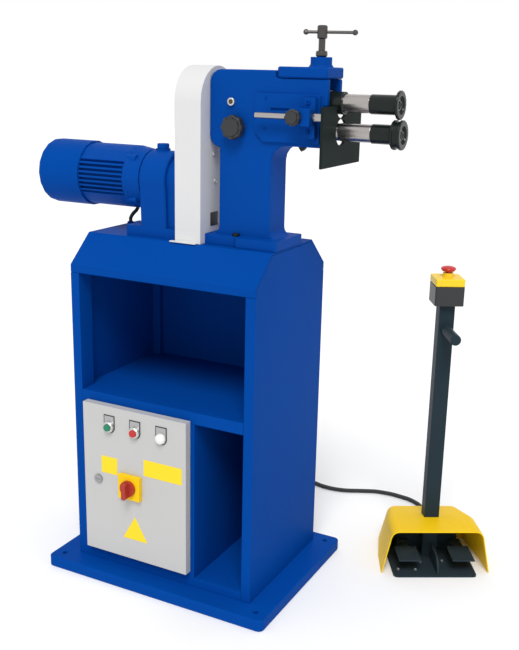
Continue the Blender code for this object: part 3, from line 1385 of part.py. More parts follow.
def make_sheet_stop(finishes):
    """A plate on a rod that slides in a clamp block on the head's front."""
    back = PANEL_FRONT - GAP
    lug = CLAMP_LUG_HEIGHT / 2
    block = place("stop_clamp_block", box((CLAMP_BLOCK_LEFT, back - CLAMP_PAD_DEPTH, CLAMP_BLOCK_BOTTOM_Z),
                                          (CLAMP_BLOCK_RIGHT, back, CLAMP_BLOCK_TOP_Z)), finishes["blue"])
    join(block, box((CLAMP_LUG_LEFT, CLAMP_BLOCK_FRONT, STOP_ROD_Z - lug),
                    (CLAMP_BLOCK_RIGHT, back, STOP_ROD_Z + lug)))
    axis = (0, STOP_ROD_Y, STOP_ROD_Z)
    cut(block,
        bore(STOP_ROD_DIAMETER / 2, "X", axis, CLAMP_LUG_LEFT - OVERRUN, CLAMP_BLOCK_RIGHT + OVERRUN,
             MEDIUM_STEPS, RUNNING_GAP),
        bore(STOP_SLEEVE_DIAMETER / 2, "X", axis, CLAMP_BORE_STEP, CLAMP_BLOCK_RIGHT + OVERRUN,
             MEDIUM_STEPS, RUNNING_GAP),
        bore(CLAMP_STEM_DIAMETER / 2, "Y", (CLAMP_KNOB_X, 0, STOP_ROD_Z), CLAMP_BLOCK_FRONT - OVERRUN,
             CLAMP_BLOCK_FRONT + CLAMP_STEM_DEPTH + GAP, SMALL_STEPS, RUNNING_GAP),
        crossing=True)
    right = STOP_PLATE_RIGHT - STOP_PLATE_THICK
    thin = STOP_ROD_DIAMETER / 2
    thick = STOP_SLEEVE_DIAMETER / 2
    chamfer = STOP_CHAMFER
    profile = [
        (0, STOP_ROD_LEFT),
        (thin - chamfer, STOP_ROD_LEFT),
        (thin, STOP_ROD_LEFT + chamfer),
        (thin, STOP_SLEEVE_LEFT),
        (thick - chamfer, STOP_SLEEVE_LEFT),
        (thick, STOP_SLEEVE_LEFT + chamfer),
        (thick, right - GAP),
        (0, right - GAP),
    ]
    place("stop_rod", turned(profile, "X", axis, MEDIUM_STEPS), finishes["steel"], (right, STOP_ROD_Y, STOP_ROD_Z))
    plate = prism([
        (STOP_PLATE_FRONT, STOP_PLATE_BOTTOM_Z),
        (STOP_PLATE_BACK, STOP_PLATE_BOTTOM_Z),
        (STOP_PLATE_BACK, STOP_PLATE_TOP_Z),
        (STOP_PLATE_FRONT, STOP_PLATE_TOP_Z),
    ], "X", right, STOP_PLATE_RIGHT)
    stop = place("stop_plate", plate, finishes["oxide"], (right, STOP_ROD_Y, STOP_ROD_Z))
    left = right - OVERRUN
    end = STOP_PLATE_RIGHT + OVERRUN
    cut(stop, rod(STOP_PLATE_HOLE / 2, "X", (0, SHAFT_Y, LOWER_SHAFT_Z), left, end, LARGE_STEPS),
        rod(STOP_PLATE_NOTCH / 2, "X", (0, SHAFT_Y, UPPER_SHAFT_Z), left, end, LARGE_STEPS))


def make_pressure_screw(finishes):
    axis = (SCREW_X, SHAFT_Y, 0)
    origin = (SCREW_X, SHAFT_Y, BLOCK_TOP_Z)
    pad_bottom = BLOCK_TOP_Z + GAP
    pad_top = pad_bottom + PAD_HEIGHT
    place("thrust_pad", rod(PAD_DIAMETER / 2, "Z", axis, pad_bottom, pad_top, MEDIUM_STEPS), finishes["steel"],
          origin)
    stem = SCREW_DIAMETER / 2
    hub = SCREW_HUB_DIAMETER / 2
    chamfer = SCREW_HUB_CHAMFER
    profile = [
        (0, pad_top + GAP),
        (stem - chamfer, pad_top + GAP),
        (stem, pad_top + GAP + chamfer),
        (stem, SCREW_HUB_BOTTOM_Z),
        (hub - chamfer, SCREW_HUB_BOTTOM_Z),
        (hub, SCREW_HUB_BOTTOM_Z + chamfer),
        (hub, SCREW_HUB_TOP_Z - chamfer),
        (hub - chamfer, SCREW_HUB_TOP_Z),
        (0, SCREW_HUB_TOP_Z),
    ]
    screw = place("pressure_screw", turned(profile, "Z", axis, MEDIUM_STEPS), finishes["oxide"],
                  (SCREW_X, SHAFT_Y, CAP_BOSS_TOP_Z))
    middle = (SCREW_HUB_BOTTOM_Z + SCREW_HUB_TOP_Z) / 2
    centre = (SCREW_X, SHAFT_Y, middle)
    hole = bore(TOMMY_DIAMETER / 2, "X", (0, SHAFT_Y, middle), SCREW_X - hub - OVERRUN,
                SCREW_X + hub + OVERRUN, SMALL_STEPS, RUNNING_GAP)
    cut(screw, turn_shape(hole, TOMMY_TURN, "Z", centre))
    ball = TOMMY_BALL / 2
    thin = TOMMY_DIAMETER / 2
    meet = math.asin(thin / ball)
    profile = [(0, -TOMMY_LENGTH / 2 - ball)]
    arc = [math.pi - (math.pi - meet) * step / 4 for step in range(1, 5)]
    profile += [(ball * math.sin(angle), -TOMMY_LENGTH / 2 + ball * math.cos(angle)) for angle in arc]
    profile += [(radius, -place_x) for radius, place_x in reversed(profile)]
    bar = turned(profile, "X", (SCREW_X + TOMMY_SHIFT, SHAFT_Y, middle), SMALL_STEPS)
    place("tommy_bar", turn_shape(bar, TOMMY_TURN, "Z", centre), finishes["steel"], centre)
    inner = bore_radius(stem, RUNNING_GAP, MEDIUM_STEPS)
    outer = LOCK_NUT_DIAMETER / 2
    low = CAP_BOSS_TOP_Z + GAP
    high = low + LOCK_NUT_HEIGHT
    place("lock_nut", turned([(inner, low), (outer - chamfer, low), (outer, low + chamfer),
                              (outer, high - chamfer), (outer - chamfer, high), (inner, high)],
                             "Z", axis, MEDIUM_STEPS, closed=True), finishes["oxide"],
          (SCREW_X, SHAFT_Y, CAP_BOSS_TOP_Z))


def make_head(finishes):
    make_head_casting(finishes)
    make_head_cap(finishes)
    make_gear_cover(finishes)
    make_bearings(finishes)
    make_shafts(finishes)
    make_oil_sight(finishes)
    make_star_knob("shaft_lock_knob", (SHAFT_KNOB_X, SHAFT_KNOB_Z), HEAD_FRONT, SHAFT_KNOB_STANDOFF,
                   SHAFT_KNOB_DIAMETER, SHAFT_KNOB_HEIGHT, STEM_DIAMETER, STEM_DEPTH, finishes)
    make_star_knob("stop_clamp_knob", (CLAMP_KNOB_X, STOP_ROD_Z), CLAMP_BLOCK_FRONT, CLAMP_KNOB_STANDOFF,
                   CLAMP_KNOB_DIAMETER, CLAMP_KNOB_HEIGHT, CLAMP_STEM_DIAMETER, CLAMP_STEM_DEPTH, finishes)
    make_sheet_stop(finishes)
    make_pressure_screw(finishes)


# Drive

def guard_arch(radius, bottom):
    """The guard's outline from the side: straight flanks under a half round."""
    outline = [(SHAFT_Y + radius, bottom)]
    for step in range(ARCH_STEPS + 1):
        angle = math.pi * step / ARCH_STEPS
        outline.append((SHAFT_Y + radius * math.cos(angle), GUARD_ARCH_Z + radius * math.sin(angle)))
    outline.append((SHAFT_Y - radius, bottom))
    return outline


def make_drive_guard(finishes):
    bottom = CABINET_TOP_Z + GAP
    outer = GUARD_HALF_DEPTH
    guard = place("drive_guard", prism(guard_arch(outer, bottom), "X", GUARD_LEFT, GUARD_RIGHT),
                  finishes["white"])
    wall = GUARD_WALL
    cut(guard, prism(guard_arch(outer - wall, bottom - OVERRUN), "X", GUARD_LEFT + wall, GUARD_RIGHT - wall))
    foot_left = GUARD_LEFT - GUARD_FLANGE
    join(guard, box((foot_left, SHAFT_Y - outer - GUARD_FLANGE, bottom),
                    (FOOT_LEFT - GAP, SHAFT_Y - outer + wall / 2, bottom + GUARD_FLANGE_THICK)))
    cut(guard,
        rod(GUARD_HOLE / 2, "X", (0, SHAFT_Y, MOTOR_Z), GUARD_LEFT - OVERRUN, GUARD_LEFT + OVERRUN, LARGE_STEPS),
        rod(GUARD_HOLE / 2, "X", (0, SHAFT_Y, LOWER_SHAFT_Z), GUARD_RIGHT - OVERRUN, GUARD_RIGHT + OVERRUN,
            LARGE_STEPS),
        box((FOOT_LEFT - GAP, FOOT_FRONT + FOOT_STEP_DEPTH - GAP, bottom - OVERRUN),
            (GUARD_RIGHT + OVERRUN, FOOT_BACK + GAP, FOOT_TOP_Z + GAP)))
    return guard


def make_drive_gears(finishes):
    left = DRIVE_GEAR_LEFT
    right = left + DRIVE_GEAR_WIDTH
    lower = (0, SHAFT_Y, LOWER_SHAFT_Z)
    axis = (0, SHAFT_Y, MOTOR_Z)
    teeth = gear_outline(DRIVE_MODULE, DRIVEN_TEETH, (SHAFT_Y, LOWER_SHAFT_Z), -math.pi / 2)
    driven = place("driven_gear", prism(teeth, "X", left, right), finishes["steel"], (left, SHAFT_Y, LOWER_SHAFT_Z))
    join(driven, rod(HUB_DIAMETER / 2, "X", lower, right - OVERRUN, right + OVERRUN, LARGE_STEPS))
    cut(driven, bore(JOURNAL_DIAMETER / 2, "X", lower, left - OVERRUN, right + 2 * OVERRUN, LARGE_STEPS))
    phase = math.pi / 2 + math.pi / DRIVE_TEETH
    teeth = gear_outline(DRIVE_MODULE, DRIVE_TEETH, (SHAFT_Y, MOTOR_Z), phase)
    drive = place("drive_gear", prism(teeth, "X", left, right), finishes["steel"], (left, SHAFT_Y, MOTOR_Z))
    inner = GUARD_LEFT - GAP - OUTPUT_SHAFT_DEPTH
    join(drive,
         rod(OUTPUT_SHAFT_DIAMETER / 2, "X", axis, inner, right + OVERRUN, LARGE_STEPS),
         rod(HUB_DIAMETER / 2, "X", axis, left - OVERRUN, right - OVERRUN, LARGE_STEPS), crossing=True)


def arch_outline(radius, waist, bottom):
    """A round housing seen along its shaft, with flanks that run down to a foot."""
    outline = [(SHAFT_Y + waist, bottom)]
    for step in range(ARCH_STEPS + 1):
        angle = -ARCH_DROP + (math.pi + 2 * ARCH_DROP) * step / ARCH_STEPS
        outline.append((SHAFT_Y + radius * math.cos(angle), MOTOR_Z + radius * math.sin(angle)))
    outline.append((SHAFT_Y - waist, bottom))
    return outline


def make_gearbox(finishes):
    bottom = CABINET_TOP_Z + GAP
    foot_top = bottom + GEARBOX_FOOT_THICK
    left = FLANGE_RIGHT + GAP
    right = GUARD_LEFT - GAP
    sunk = foot_top - GEARBOX_EDGE
    housing = place("gearbox_housing",
                    prism(arch_outline(GEARBOX_RADIUS, GEARBOX_WAIST, sunk), "X", left, GEARBOX_STEP_X),
                    finishes["blue"])
    soften(housing, GEARBOX_EDGE, 1)
    half = GEARBOX_FOOT_DEPTH / 2
    foot = prism(rounded_box_outline((GEARBOX_FOOT_LEFT, SHAFT_Y - half), (GEARBOX_FOOT_RIGHT, SHAFT_Y + half),
                                     GEARBOX_EDGE, 2), "Z", bottom, foot_top)
    output = prism(arch_outline(OUTPUT_RADIUS, OUTPUT_WAIST, sunk), "X", GEARBOX_STEP_X - GEARBOX_EDGE * 2,
                   right)
    boss = rod(PLUG_DIAMETER / 2 + GEARBOX_EDGE, "Z", (PLUG_X, SHAFT_Y, 0), MOTOR_Z, PLUG_BOSS_TOP_Z,
               MEDIUM_STEPS)
    join(housing, foot, output, boss, crossing=True)
    axis = (0, SHAFT_Y, MOTOR_Z)
    cut(housing, bore(OUTPUT_SHAFT_DIAMETER / 2, "X", axis, right - OUTPUT_SHAFT_DEPTH - GAP, right + OVERRUN,
                      LARGE_STEPS, RUNNING_GAP))
    chamfer = GEARBOX_EDGE / 2
    low = PLUG_BOSS_TOP_Z + GAP
    place("gearbox_plug", turned([(0, low), (PLUG_DIAMETER / 2, low), (PLUG_DIAMETER / 2, PLUG_TOP_Z - chamfer),
                                  (PLUG_DIAMETER / 2 - chamfer, PLUG_TOP_Z), (0, PLUG_TOP_Z)],
                                 "Z", (PLUG_X, SHAFT_Y, 0), MEDIUM_STEPS), finishes["blue"])


def frame_outline():
    """The motor frame seen along its shaft: level fins on both flanks, plain above and below."""
    side = []
    for index in range(FIN_COUNT):
        middle = (index - (FIN_COUNT - 1) / 2) * FIN_PITCH
        for height, radius in (
            (middle - FIN_THICK / 2, FRAME_CORE_RADIUS),
            (middle - FIN_THICK / 2, FRAME_RADIUS),
            (middle + FIN_THICK / 2, FRAME_RADIUS),
            (middle + FIN_THICK / 2, FRAME_CORE_RADIUS),
        ):
            side.append((math.sqrt(radius ** 2 - height ** 2), height))
    crown = []
    for angle in FRAME_CROWN_ANGLES:
        turn = math.radians(angle)
        crown.append((FRAME_RADIUS * math.cos(turn), FRAME_RADIUS * math.sin(turn)))
    right = side + crown
    left = [(-across, -up) for across, up in right]
    return [(SHAFT_Y + across, MOTOR_Z + up) for across, up in right + left]


def make_motor(finishes):
    axis = (0, SHAFT_Y, MOTOR_Z)
    left = COWL_RIGHT + GAP
    frame = place("motor_frame", prism(frame_outline(), "X", left, FRAME_RIGHT), finishes["blue"])
    flange = turned([(0, FRAME_RIGHT - OVERRUN), (FRAME_CORE_RADIUS, FRAME_RIGHT - OVERRUN),
                     (FRAME_RADIUS, FRAME_RIGHT), (FLANGE_RADIUS, FLANGE_RIGHT), (0, FLANGE_RIGHT)],
                    "X", axis, LARGE_STEPS)
    spigot = rod(COWL_RADIUS - COWL_WALL - GAP, "X", axis, COWL_RIGHT - FRAME_SPIGOT, left + GAP, LARGE_STEPS)
    half = TERMINAL_HEIGHT / 2
    terminal = box((TERMINAL_LEFT, SHAFT_Y + FRAME_CORE_RADIUS / 2, MOTOR_Z - half),
                   (TERMINAL_RIGHT, TERMINAL_BACK, MOTOR_Z + half))
    join(frame, flange, terminal, spigot, crossing=True)
    cut(frame, bore(FAN_SHAFT_RADIUS, "X", axis, COWL_RIGHT - FRAME_SPIGOT - OVERRUN,
                    COWL_RIGHT - FRAME_SPIGOT + FAN_SHAFT_DEPTH + GAP, SMALL_STEPS, RUNNING_GAP))
    wall = COWL_WALL
    outer = COWL_RADIUS
    profile = [(0, COWL_LEFT)]
    for step in range(4):
        angle = math.pi / 2 * step / 3
        profile.append((outer - COWL_ROUND + COWL_ROUND * math.sin(angle),
                        COWL_LEFT + COWL_ROUND - COWL_ROUND * math.cos(angle)))
    profile += [(outer, COWL_RIGHT), (outer - wall, COWL_RIGHT), (outer - wall, COWL_LEFT + COWL_ROUND),
                (outer - COWL_ROUND, COWL_LEFT + wall), (0, COWL_LEFT + wall)]
    cowl = place("fan_cowl", turned(profile, "X", axis, LARGE_STEPS), finishes["blue"])
    vents = []
    for index in range(COWL_VENTS):
        height = MOTOR_Z + (index - (COWL_VENTS - 1) / 2) * COWL_VENT_PITCH
        vents.append(centred_box((COWL_LEFT, SHAFT_Y, height), (2 * OVERRUN, COWL_VENT_LENGTH, COWL_VENT_HEIGHT)))
    cut(cowl, *vents)
    hub_left = COWL_LEFT + COWL_WALL + FAN_CLEARANCE
    hub_right = hub_left + FAN_WIDTH
    stub = COWL_RIGHT - FRAME_SPIGOT + FAN_SHAFT_DEPTH
    hub = turned([(0, hub_left), (FAN_HUB_RADIUS, hub_left), (FAN_HUB_RADIUS, hub_right - FAN_DISC),
                  (FAN_RADIUS, hub_right - FAN_DISC), (FAN_RADIUS, hub_right), (FAN_SHAFT_RADIUS, hub_right),
                  (FAN_SHAFT_RADIUS, stub), (0, stub)], "X", axis, LARGE_STEPS)
    fan = place("motor_fan", hub, finishes["black"], (hub_right, SHAFT_Y, MOTOR_Z))
    half = FAN_BLADE_THICK / 2
    blades = []
    for index in range(FAN_BLADES):
        blade = box((hub_left, SHAFT_Y + FAN_HUB_RADIUS - half, MOTOR_Z - half),
                    (hub_right - FAN_DISC / 2, SHAFT_Y + FAN_RADIUS - half, MOTOR_Z + half))
        blades.append(turn_shape(blade, math.degrees(math.tau) * index / FAN_BLADES, "X", axis))
    join(fan, *blades)


def smooth_points(route, count):
    """Evenly spaced points on a smooth curve through a route."""
    knots = [Vector(point) for point in route]
    knots = [2 * knots[0] - knots[1]] + knots + [2 * knots[-1] - knots[-2]]
    dense = []
    for index in range(1, len(knots) - 2):
        before, here, after, beyond = knots[index - 1:index + 3]
        for step in range(CURVE_STEPS):
            t = step / CURVE_STEPS
            dense.append(0.5 * (2 * here + (after - before) * t
                                + (2 * before - 5 * here + 4 * after - beyond) * t ** 2
                                + (3 * here - before - 3 * after + beyond) * t ** 3))
    dense.append(knots[-2])
    lengths = [0.0]
    for first, last in zip(dense, dense[1:]):
        lengths.append(lengths[-1] + (last - first).length)
    points = []
    index = 0
    for number in range(count):
        target = lengths[-1] * number / (count - 1)
        while index < len(dense) - 2 and lengths[index + 1] < target:
            index += 1
        span = lengths[index + 1] - lengths[index]
        points.append(dense[index].lerp(dense[index + 1], (target - lengths[index]) / span))
    return points


def tube(name, points, radii, resolution, material):
    curve = bpy.data.curves.new(name, "CURVE")
    curve.dimensions = "3D"
    curve.bevel_depth = 1.0
    curve.bevel_resolution = resolution
    curve.use_fill_caps = True
    spline = curve.splines.new("POLY")
    spline.points.add(len(points) - 1)
    for knot, point, radius in zip(spline.points, points, radii):
        knot.co = (*point, 1.0)
        knot.radius = radius
    item = bpy.data.objects.new(name, curve)
    bpy.context.collection.objects.link(item)
    if material:
        curve.materials.append(material)
    return item


def make_motor_cable(finishes):
    radius = MOTOR_CABLE_DIAMETER / 2
    points = smooth_points(MOTOR_CABLE_ROUTE, MOTOR_CABLE_POINTS)
    tube("motor_cable", points, [radius] * len(points), 2, finishes["black"])


def make_drive(finishes):
    make_drive_guard(finishes)
    make_drive_gears(finishes)
    make_gearbox(finishes)
    make_motor(finishes)
    make_motor_cable(finishes)


# Foot pedal station

def make_station_base(station, finishes):
    outline = rounded_box_outline((STATION_LEFT, STATION_FRONT), (STATION_RIGHT, STATION_BACK), STATION_CORNER, 2)
    base = place("pedal_base", prism(outline, "Z", 0, STATION_PLATE), finishes["slate"], parent=station)
    top = STATION_PLATE / 2
    half = WEB_THICK / 2
    web = prism(rounded([
        (WEB_FRONT, top, 0),
        (WEB_BACK, top, 0),
        (WEB_BACK, WEB_HEIGHT, 0),
        (WEB_FRONT, WEB_HEIGHT, WEB_ROUND),
    ], 4), "X", WEB_X - half, WEB_X + half)
    box_half = SWITCH_BOX_WIDTH / 2
    chamfer = SWITCH_BOX_CHAMFER
    back = STATION_BACK - STATION_CORNER
    housing = prism([
        (SWITCH_BOX_FRONT, top),
        (back, top),
        (back, SWITCH_BOX_HEIGHT),
        (SWITCH_BOX_FRONT + chamfer, SWITCH_BOX_HEIGHT),
        (SWITCH_BOX_FRONT, SWITCH_BOX_HEIGHT - chamfer),
    ], "X", -box_half, box_half)
    ears = []
    pins = []
    reach = PEDAL_EYE_DIAMETER / 2
    for side in (-1, 1):
        for edge in (-1, 1):
            near = side * PEDAL_OFFSET + edge * (PEDAL_ARM_WIDTH / 2 + PEDAL_EAR_GAP)
            far = near + edge * PEDAL_EAR_THICK
            ears.append(box((min(near, far), PEDAL_PIVOT_Y - reach, top),
                            (max(near, far), PEDAL_PIVOT_Y + reach, PEDAL_PIVOT_Z + reach)))
        outer = PEDAL_ARM_WIDTH / 2 + PEDAL_EAR_GAP + PEDAL_EAR_THICK / 2
        pins.append(rod(PEDAL_PIN_DIAMETER / 2, "X", (side * PEDAL_OFFSET, PEDAL_PIVOT_Y, PEDAL_PIVOT_Z),
                        -outer, outer, SMALL_STEPS))
    join(base, web, housing, *ears, *pins, crossing=True)
    cut(base, rod(GLAND_NUT_DIAMETER / 2 + GAP, "Y", (0, 0, PEDAL_GLAND_Z), back - GLAND_LENGTH / 2 - GAP,
                  back + OVERRUN, MEDIUM_STEPS))
    return base


def make_pedal(name, side, station, finishes):
    x = side * PEDAL_OFFSET
    half = PEDAL_PAD_WIDTH / 2
    back = PEDAL_PAD_FRONT + PEDAL_PAD_LENGTH
    pad = box((x - half, PEDAL_PAD_FRONT, PEDAL_PAD_Z), (x + half, back, PEDAL_PAD_Z + PEDAL_PAD_THICK))
    origin = (x, PEDAL_PIVOT_Y, PEDAL_PIVOT_Z)
    pedal = place(name, pad, finishes["slate"], origin, station)
    soften(pedal, PEDAL_EDGE, 1)
    arm_half = PEDAL_ARM_WIDTH / 2
    under = PEDAL_PAD_Z - PEDAL_ARM_THICK / 2
    arm = prism([
        (PEDAL_PAD_FRONT + PEDAL_PAD_LENGTH / 3, under),
        (back, under),
        (PEDAL_PIVOT_Y, PEDAL_PIVOT_Z - PEDAL_ARM_THICK / 2),
        (PEDAL_PIVOT_Y, PEDAL_PIVOT_Z + PEDAL_ARM_THICK / 2),
        (back, PEDAL_PAD_Z + PEDAL_PAD_THICK / 2),
        (PEDAL_PAD_FRONT + PEDAL_PAD_LENGTH / 3, PEDAL_PAD_Z + PEDAL_PAD_THICK / 2),
    ], "X", x - arm_half, x + arm_half)
    eye = rod(PEDAL_EYE_DIAMETER / 2, "X", origin, -arm_half, arm_half, MEDIUM_STEPS)
    join(pedal, arm, eye, crossing=True)
    cut(pedal, bore(PEDAL_PIN_DIAMETER / 2, "X", origin, -arm_half - OVERRUN, arm_half + OVERRUN, SMALL_STEPS,
                    RUNNING_GAP))
    return pedal


def hood_section(y, foot_half, top_half, height):
    """Half of the hood's cross-section repeated both ways: a sloped side, a round and a flat top."""
    corners = [
        (foot_half, GAP, 0),
        (top_half, height, HOOD_ROUND),
        (-top_half, height, HOOD_ROUND),
        (-foot_half, GAP, 0),
    ]
    ring = rounded(corners + [(0, GAP, 0)], 3)[:-1]
    return [Vector((across, y, up)) for across, up in ring]


def make_hood(station, finishes):
    """A pressed hood over the pedals, open in front and below."""
    sections = [
        hood_section(0, HOOD_FOOT_HALF, HOOD_TOP_HALF, HOOD_HEIGHT),
        hood_section(HOOD_RIDGE_Y, HOOD_RIDGE_FOOT_HALF, HOOD_RIDGE_TOP_HALF, HOOD_HEIGHT),
        hood_section(HOOD_BACK_Y, HOOD_BACK_FOOT_HALF, HOOD_BACK_TOP_HALF, HOOD_BACK_HEIGHT),
    ]
    shell = bmesh.new()
    rows = [[shell.verts.new(point) for point in section] for section in sections]
    for row, following in zip(rows, rows[1:]):
        for index in range(len(row) - 1):
            shell.faces.new((row[index], row[index + 1], following[index + 1], following[index]))
    shell.faces.new(rows[-1])
    bmesh.ops.recalc_face_normals(shell, faces=shell.faces)
    hood = place("pedal_hood", shell, finishes["yellow"], parent=station)
    thick = hood.modifiers.new("Solidify", "SOLIDIFY")
    thick.thickness = HOOD_SHEET
    thick.offset = HOOD_SOLIDIFY_SIDE
    thick.use_even_offset = True
    half = COLUMN_SIZE / 2 + GAP
    cut(hood,
        box((-half, COLUMN_Y - half, HOOD_BACK_HEIGHT - HOOD_ROUND), (half, COLUMN_Y + half, HOOD_HEIGHT + OVERRUN)),
        box((-HOOD_FOOT_HALF - OVERRUN, -OVERRUN, -OVERRUN), (HOOD_FOOT_HALF + OVERRUN, HOOD_BACK_Y + OVERRUN, GAP)),
        rod(GLAND_NUT_DIAMETER / 2 + GAP, "Y", (0, 0, PEDAL_GLAND_Z), HOOD_BACK_Y - 2 * OVERRUN,
            HOOD_BACK_Y + OVERRUN, MEDIUM_STEPS))
    return hood


def make_column(station, finishes):
    half = COLUMN_SIZE / 2
    wall = COLUMN_WALL
    bottom = STATION_PLATE + GAP
    column = place("pedal_column", centred_box((0, COLUMN_Y, (bottom + COLUMN_TOP_Z) / 2),
                                               (2 * half, 2 * half, COLUMN_TOP_Z - bottom)),
                   finishes["slate"], parent=station)
    cut(column, box((-half + wall, COLUMN_Y - half + wall, bottom - OVERRUN),
                    (half - wall, COLUMN_Y + half - wall, COLUMN_TOP_Z + OVERRUN)))
    root = COLUMN_Y - half
    peg = rod(PEG_DIAMETER / 2, "Y", (0, 0, PEG_Z), root - PEG_LENGTH, root + wall / 2, MEDIUM_STEPS)
    join(column, turn_shape(peg, PEG_TURN, "Z", (0, root, PEG_Z)))
    return column


def make_estop(station, finishes):
    half = ESTOP_SIZE / 2
    low = COLUMN_TOP_Z + GAP
    mid = low + ESTOP_BOX_HEIGHT
    top = mid + GAP + ESTOP_COVER_HEIGHT
    wall = ESTOP_WALL
    outline = rounded_box_outline((-half, COLUMN_Y - half), (half, COLUMN_Y + half), ESTOP_ROUND)
    case = place("estop_box", prism(outline, "Z", low, mid), finishes["black"], parent=station)
    cut(case, box((-half + wall, COLUMN_Y - half + wall, low + wall),
                  (half - wall, COLUMN_Y + half - wall, mid + OVERRUN)))
    cover = place("estop_cover", prism(outline, "Z", mid + GAP, top), finishes["yellow"], parent=station)
    soften(cover, ESTOP_ROUND / 2, 1)
    axis = (0, COLUMN_Y, 0)
    collar_top = top + ESTOP_COLLAR_HEIGHT
    join(cover, rod(ESTOP_COLLAR_DIAMETER / 2, "Z", axis, top - OVERRUN, collar_top, MEDIUM_STEPS))
    cut(cover, bore(ESTOP_STEM_DIAMETER / 2, "Z", axis, mid - OVERRUN, collar_top + OVERRUN, MEDIUM_STEPS,
                    RUNNING_GAP))
    under = collar_top + ESTOP_TRAVEL + GAP
    radius = ESTOP_HEAD_DIAMETER / 2
    stem = ESTOP_STEM_DIAMETER / 2
    crown = ESTOP_HEAD_HEIGHT - ESTOP_HEAD_BOTTOM
    profile = [
        (0, collar_top - ESTOP_STEM_DEPTH),
        (stem, collar_top - ESTOP_STEM_DEPTH),
        (stem, under),
        (radius - ESTOP_ROUND, under),
        (radius, under + ESTOP_HEAD_BOTTOM),
    ]
    for step in range(1, 5):
        angle = math.pi / 2 * step / 4
        profile.append((radius * math.cos(angle), under + ESTOP_HEAD_BOTTOM + crown * math.sin(angle) / 2))
    profile[-1] = (0, profile[-1][1])
    place("estop_button", turned(profile, "Z", axis, LARGE_STEPS), finishes["red"], (0, COLUMN_Y, collar_top),
          station)


# Conduit

def make_glands(station, finishes):
    """A gland in the cabinet's back and one in the pedal station's back."""
    back = CABINET_BACK
    inner = back - SHEET - GLAND_LENGTH / 2
    end = CONDUIT_ROUTE[0][1] - GAP
    nut = GLAND_NUT_DIAMETER / 2
    flange = GLAND_DIAMETER / 2
    chamfer = GLAND_NUT_LENGTH / 6
    profile = [
        (0, inner),
        (flange, inner),
        (flange, back + GAP),
        (flange + chamfer, back + GAP),
        (flange + chamfer, back + GAP + chamfer),
        (nut, end - GLAND_NUT_LENGTH / 2),
        (nut, end - chamfer),
        (nut - chamfer, end),
        (0, end),
    ]
    place("cabinet_gland", turned(profile, "Y", (GLAND_X, 0, GLAND_Z), MEDIUM_STEPS), finishes["black"])
    start = STATION_BACK - STATION_CORNER - GLAND_LENGTH / 2
    end = HOOD_BACK_Y + GLAND_NUT_LENGTH
    profile = [
        (0, start),
        (nut, start),
        (nut, end - chamfer),
        (nut - chamfer, end),
        (0, end),
    ]
    place("pedal_gland", turned(profile, "Y", (0, 0, PEDAL_GLAND_Z), MEDIUM_STEPS), finishes["black"],
          parent=station)


def station_point(x, y, z):
    """A point of the pedal station in the machine's frame."""
    turn = math.radians(STATION_TURN)
    return (STATION_X + x * math.cos(turn) - y * math.sin(turn),
            STATION_Y + x * math.sin(turn) + y * math.cos(turn), z)


def make_conduit(finishes):
    """A ribbed hose along its route, with its bore cut out."""
    exit_y = HOOD_BACK_Y + GLAND_NUT_LENGTH + GAP
    ends = [station_point(0, exit_y + run, PEDAL_GLAND_Z) for run in (CONDUIT_RUN, CONDUIT_RUN / 2, 0)]
    route = CONDUIT_ROUTE + ends
    rib = CONDUIT_DIAMETER / 2
    root = CONDUIT_ROOT_DIAMETER / 2
    points = smooth_points(route, 2 * CONDUIT_RIBS)
    radii = [rib if index % 2 else root for index in range(len(points))]
    conduit = tube("pedal_cable", points, radii, 2, None)
    depsgraph = bpy.context.evaluated_depsgraph_get()
    mesh = bpy.data.meshes.new_from_object(conduit.evaluated_get(depsgraph))
    bpy.data.objects.remove(conduit)
    item = bpy.data.objects.new("pedal_cable", mesh)
    bpy.context.collection.objects.link(item)
    mesh.materials.clear()
    mesh.materials.append(finishes["black"])
    middle = smooth_points(route, CONDUIT_BORE_POINTS)
    middle[0] -= (middle[1] - middle[0]).normalized() * OVERRUN
    middle[-1] += (middle[-1] - middle[-2]).normalized() * OVERRUN
    tool = tube("pedal_cable_bore", middle, [CONDUIT_BORE_DIAMETER / 2] * len(middle), 2, None)
    tool_mesh = bpy.data.meshes.new_from_object(tool.evaluated_get(bpy.context.evaluated_depsgraph_get()))
    bpy.data.objects.remove(tool)
    cutter = bpy.data.objects.new("pedal_cable_bore", tool_mesh)
    bpy.context.collection.objects.link(cutter)
    cutter.hide_render = True
    cutter.display_type = "WIRE"
    step = item.modifiers.new("Bore", "BOOLEAN")
    step.operation = "DIFFERENCE"
    step.solver = "EXACT"
    step.object = cutter


def make_pedal_station(finishes):
    station = bpy.data.objects.new("pedal_station", None)
    bpy.context.collection.objects.link(station)
    station.location = (STATION_X, STATION_Y, 0)
    station.rotation_euler = (0, 0, math.radians(STATION_TURN))
    make_station_base(station, finishes)
    make_pedal("pedal_left", -1, station, finishes)
    make_pedal("pedal_right", 1, station, finishes)
    make_hood(station, finishes)
    make_column(station, finishes)
    make_estop(station, finishes)
    make_glands(station, finishes)
    make_conduit(finishes)


def main():
    clear_scene()
    finishes = make_finishes()
    make_cabinet(finishes)
    make_enclosure(finishes)
    make_head(finishes)
    make_drive(finishes)
    make_pedal_station(finishes)


main()
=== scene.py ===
"""Looks of the combination sheet metal machine: finishes, softened edges and small pieces."""
import json
import math

import bmesh
import bpy
from mathutils import Matrix, Vector


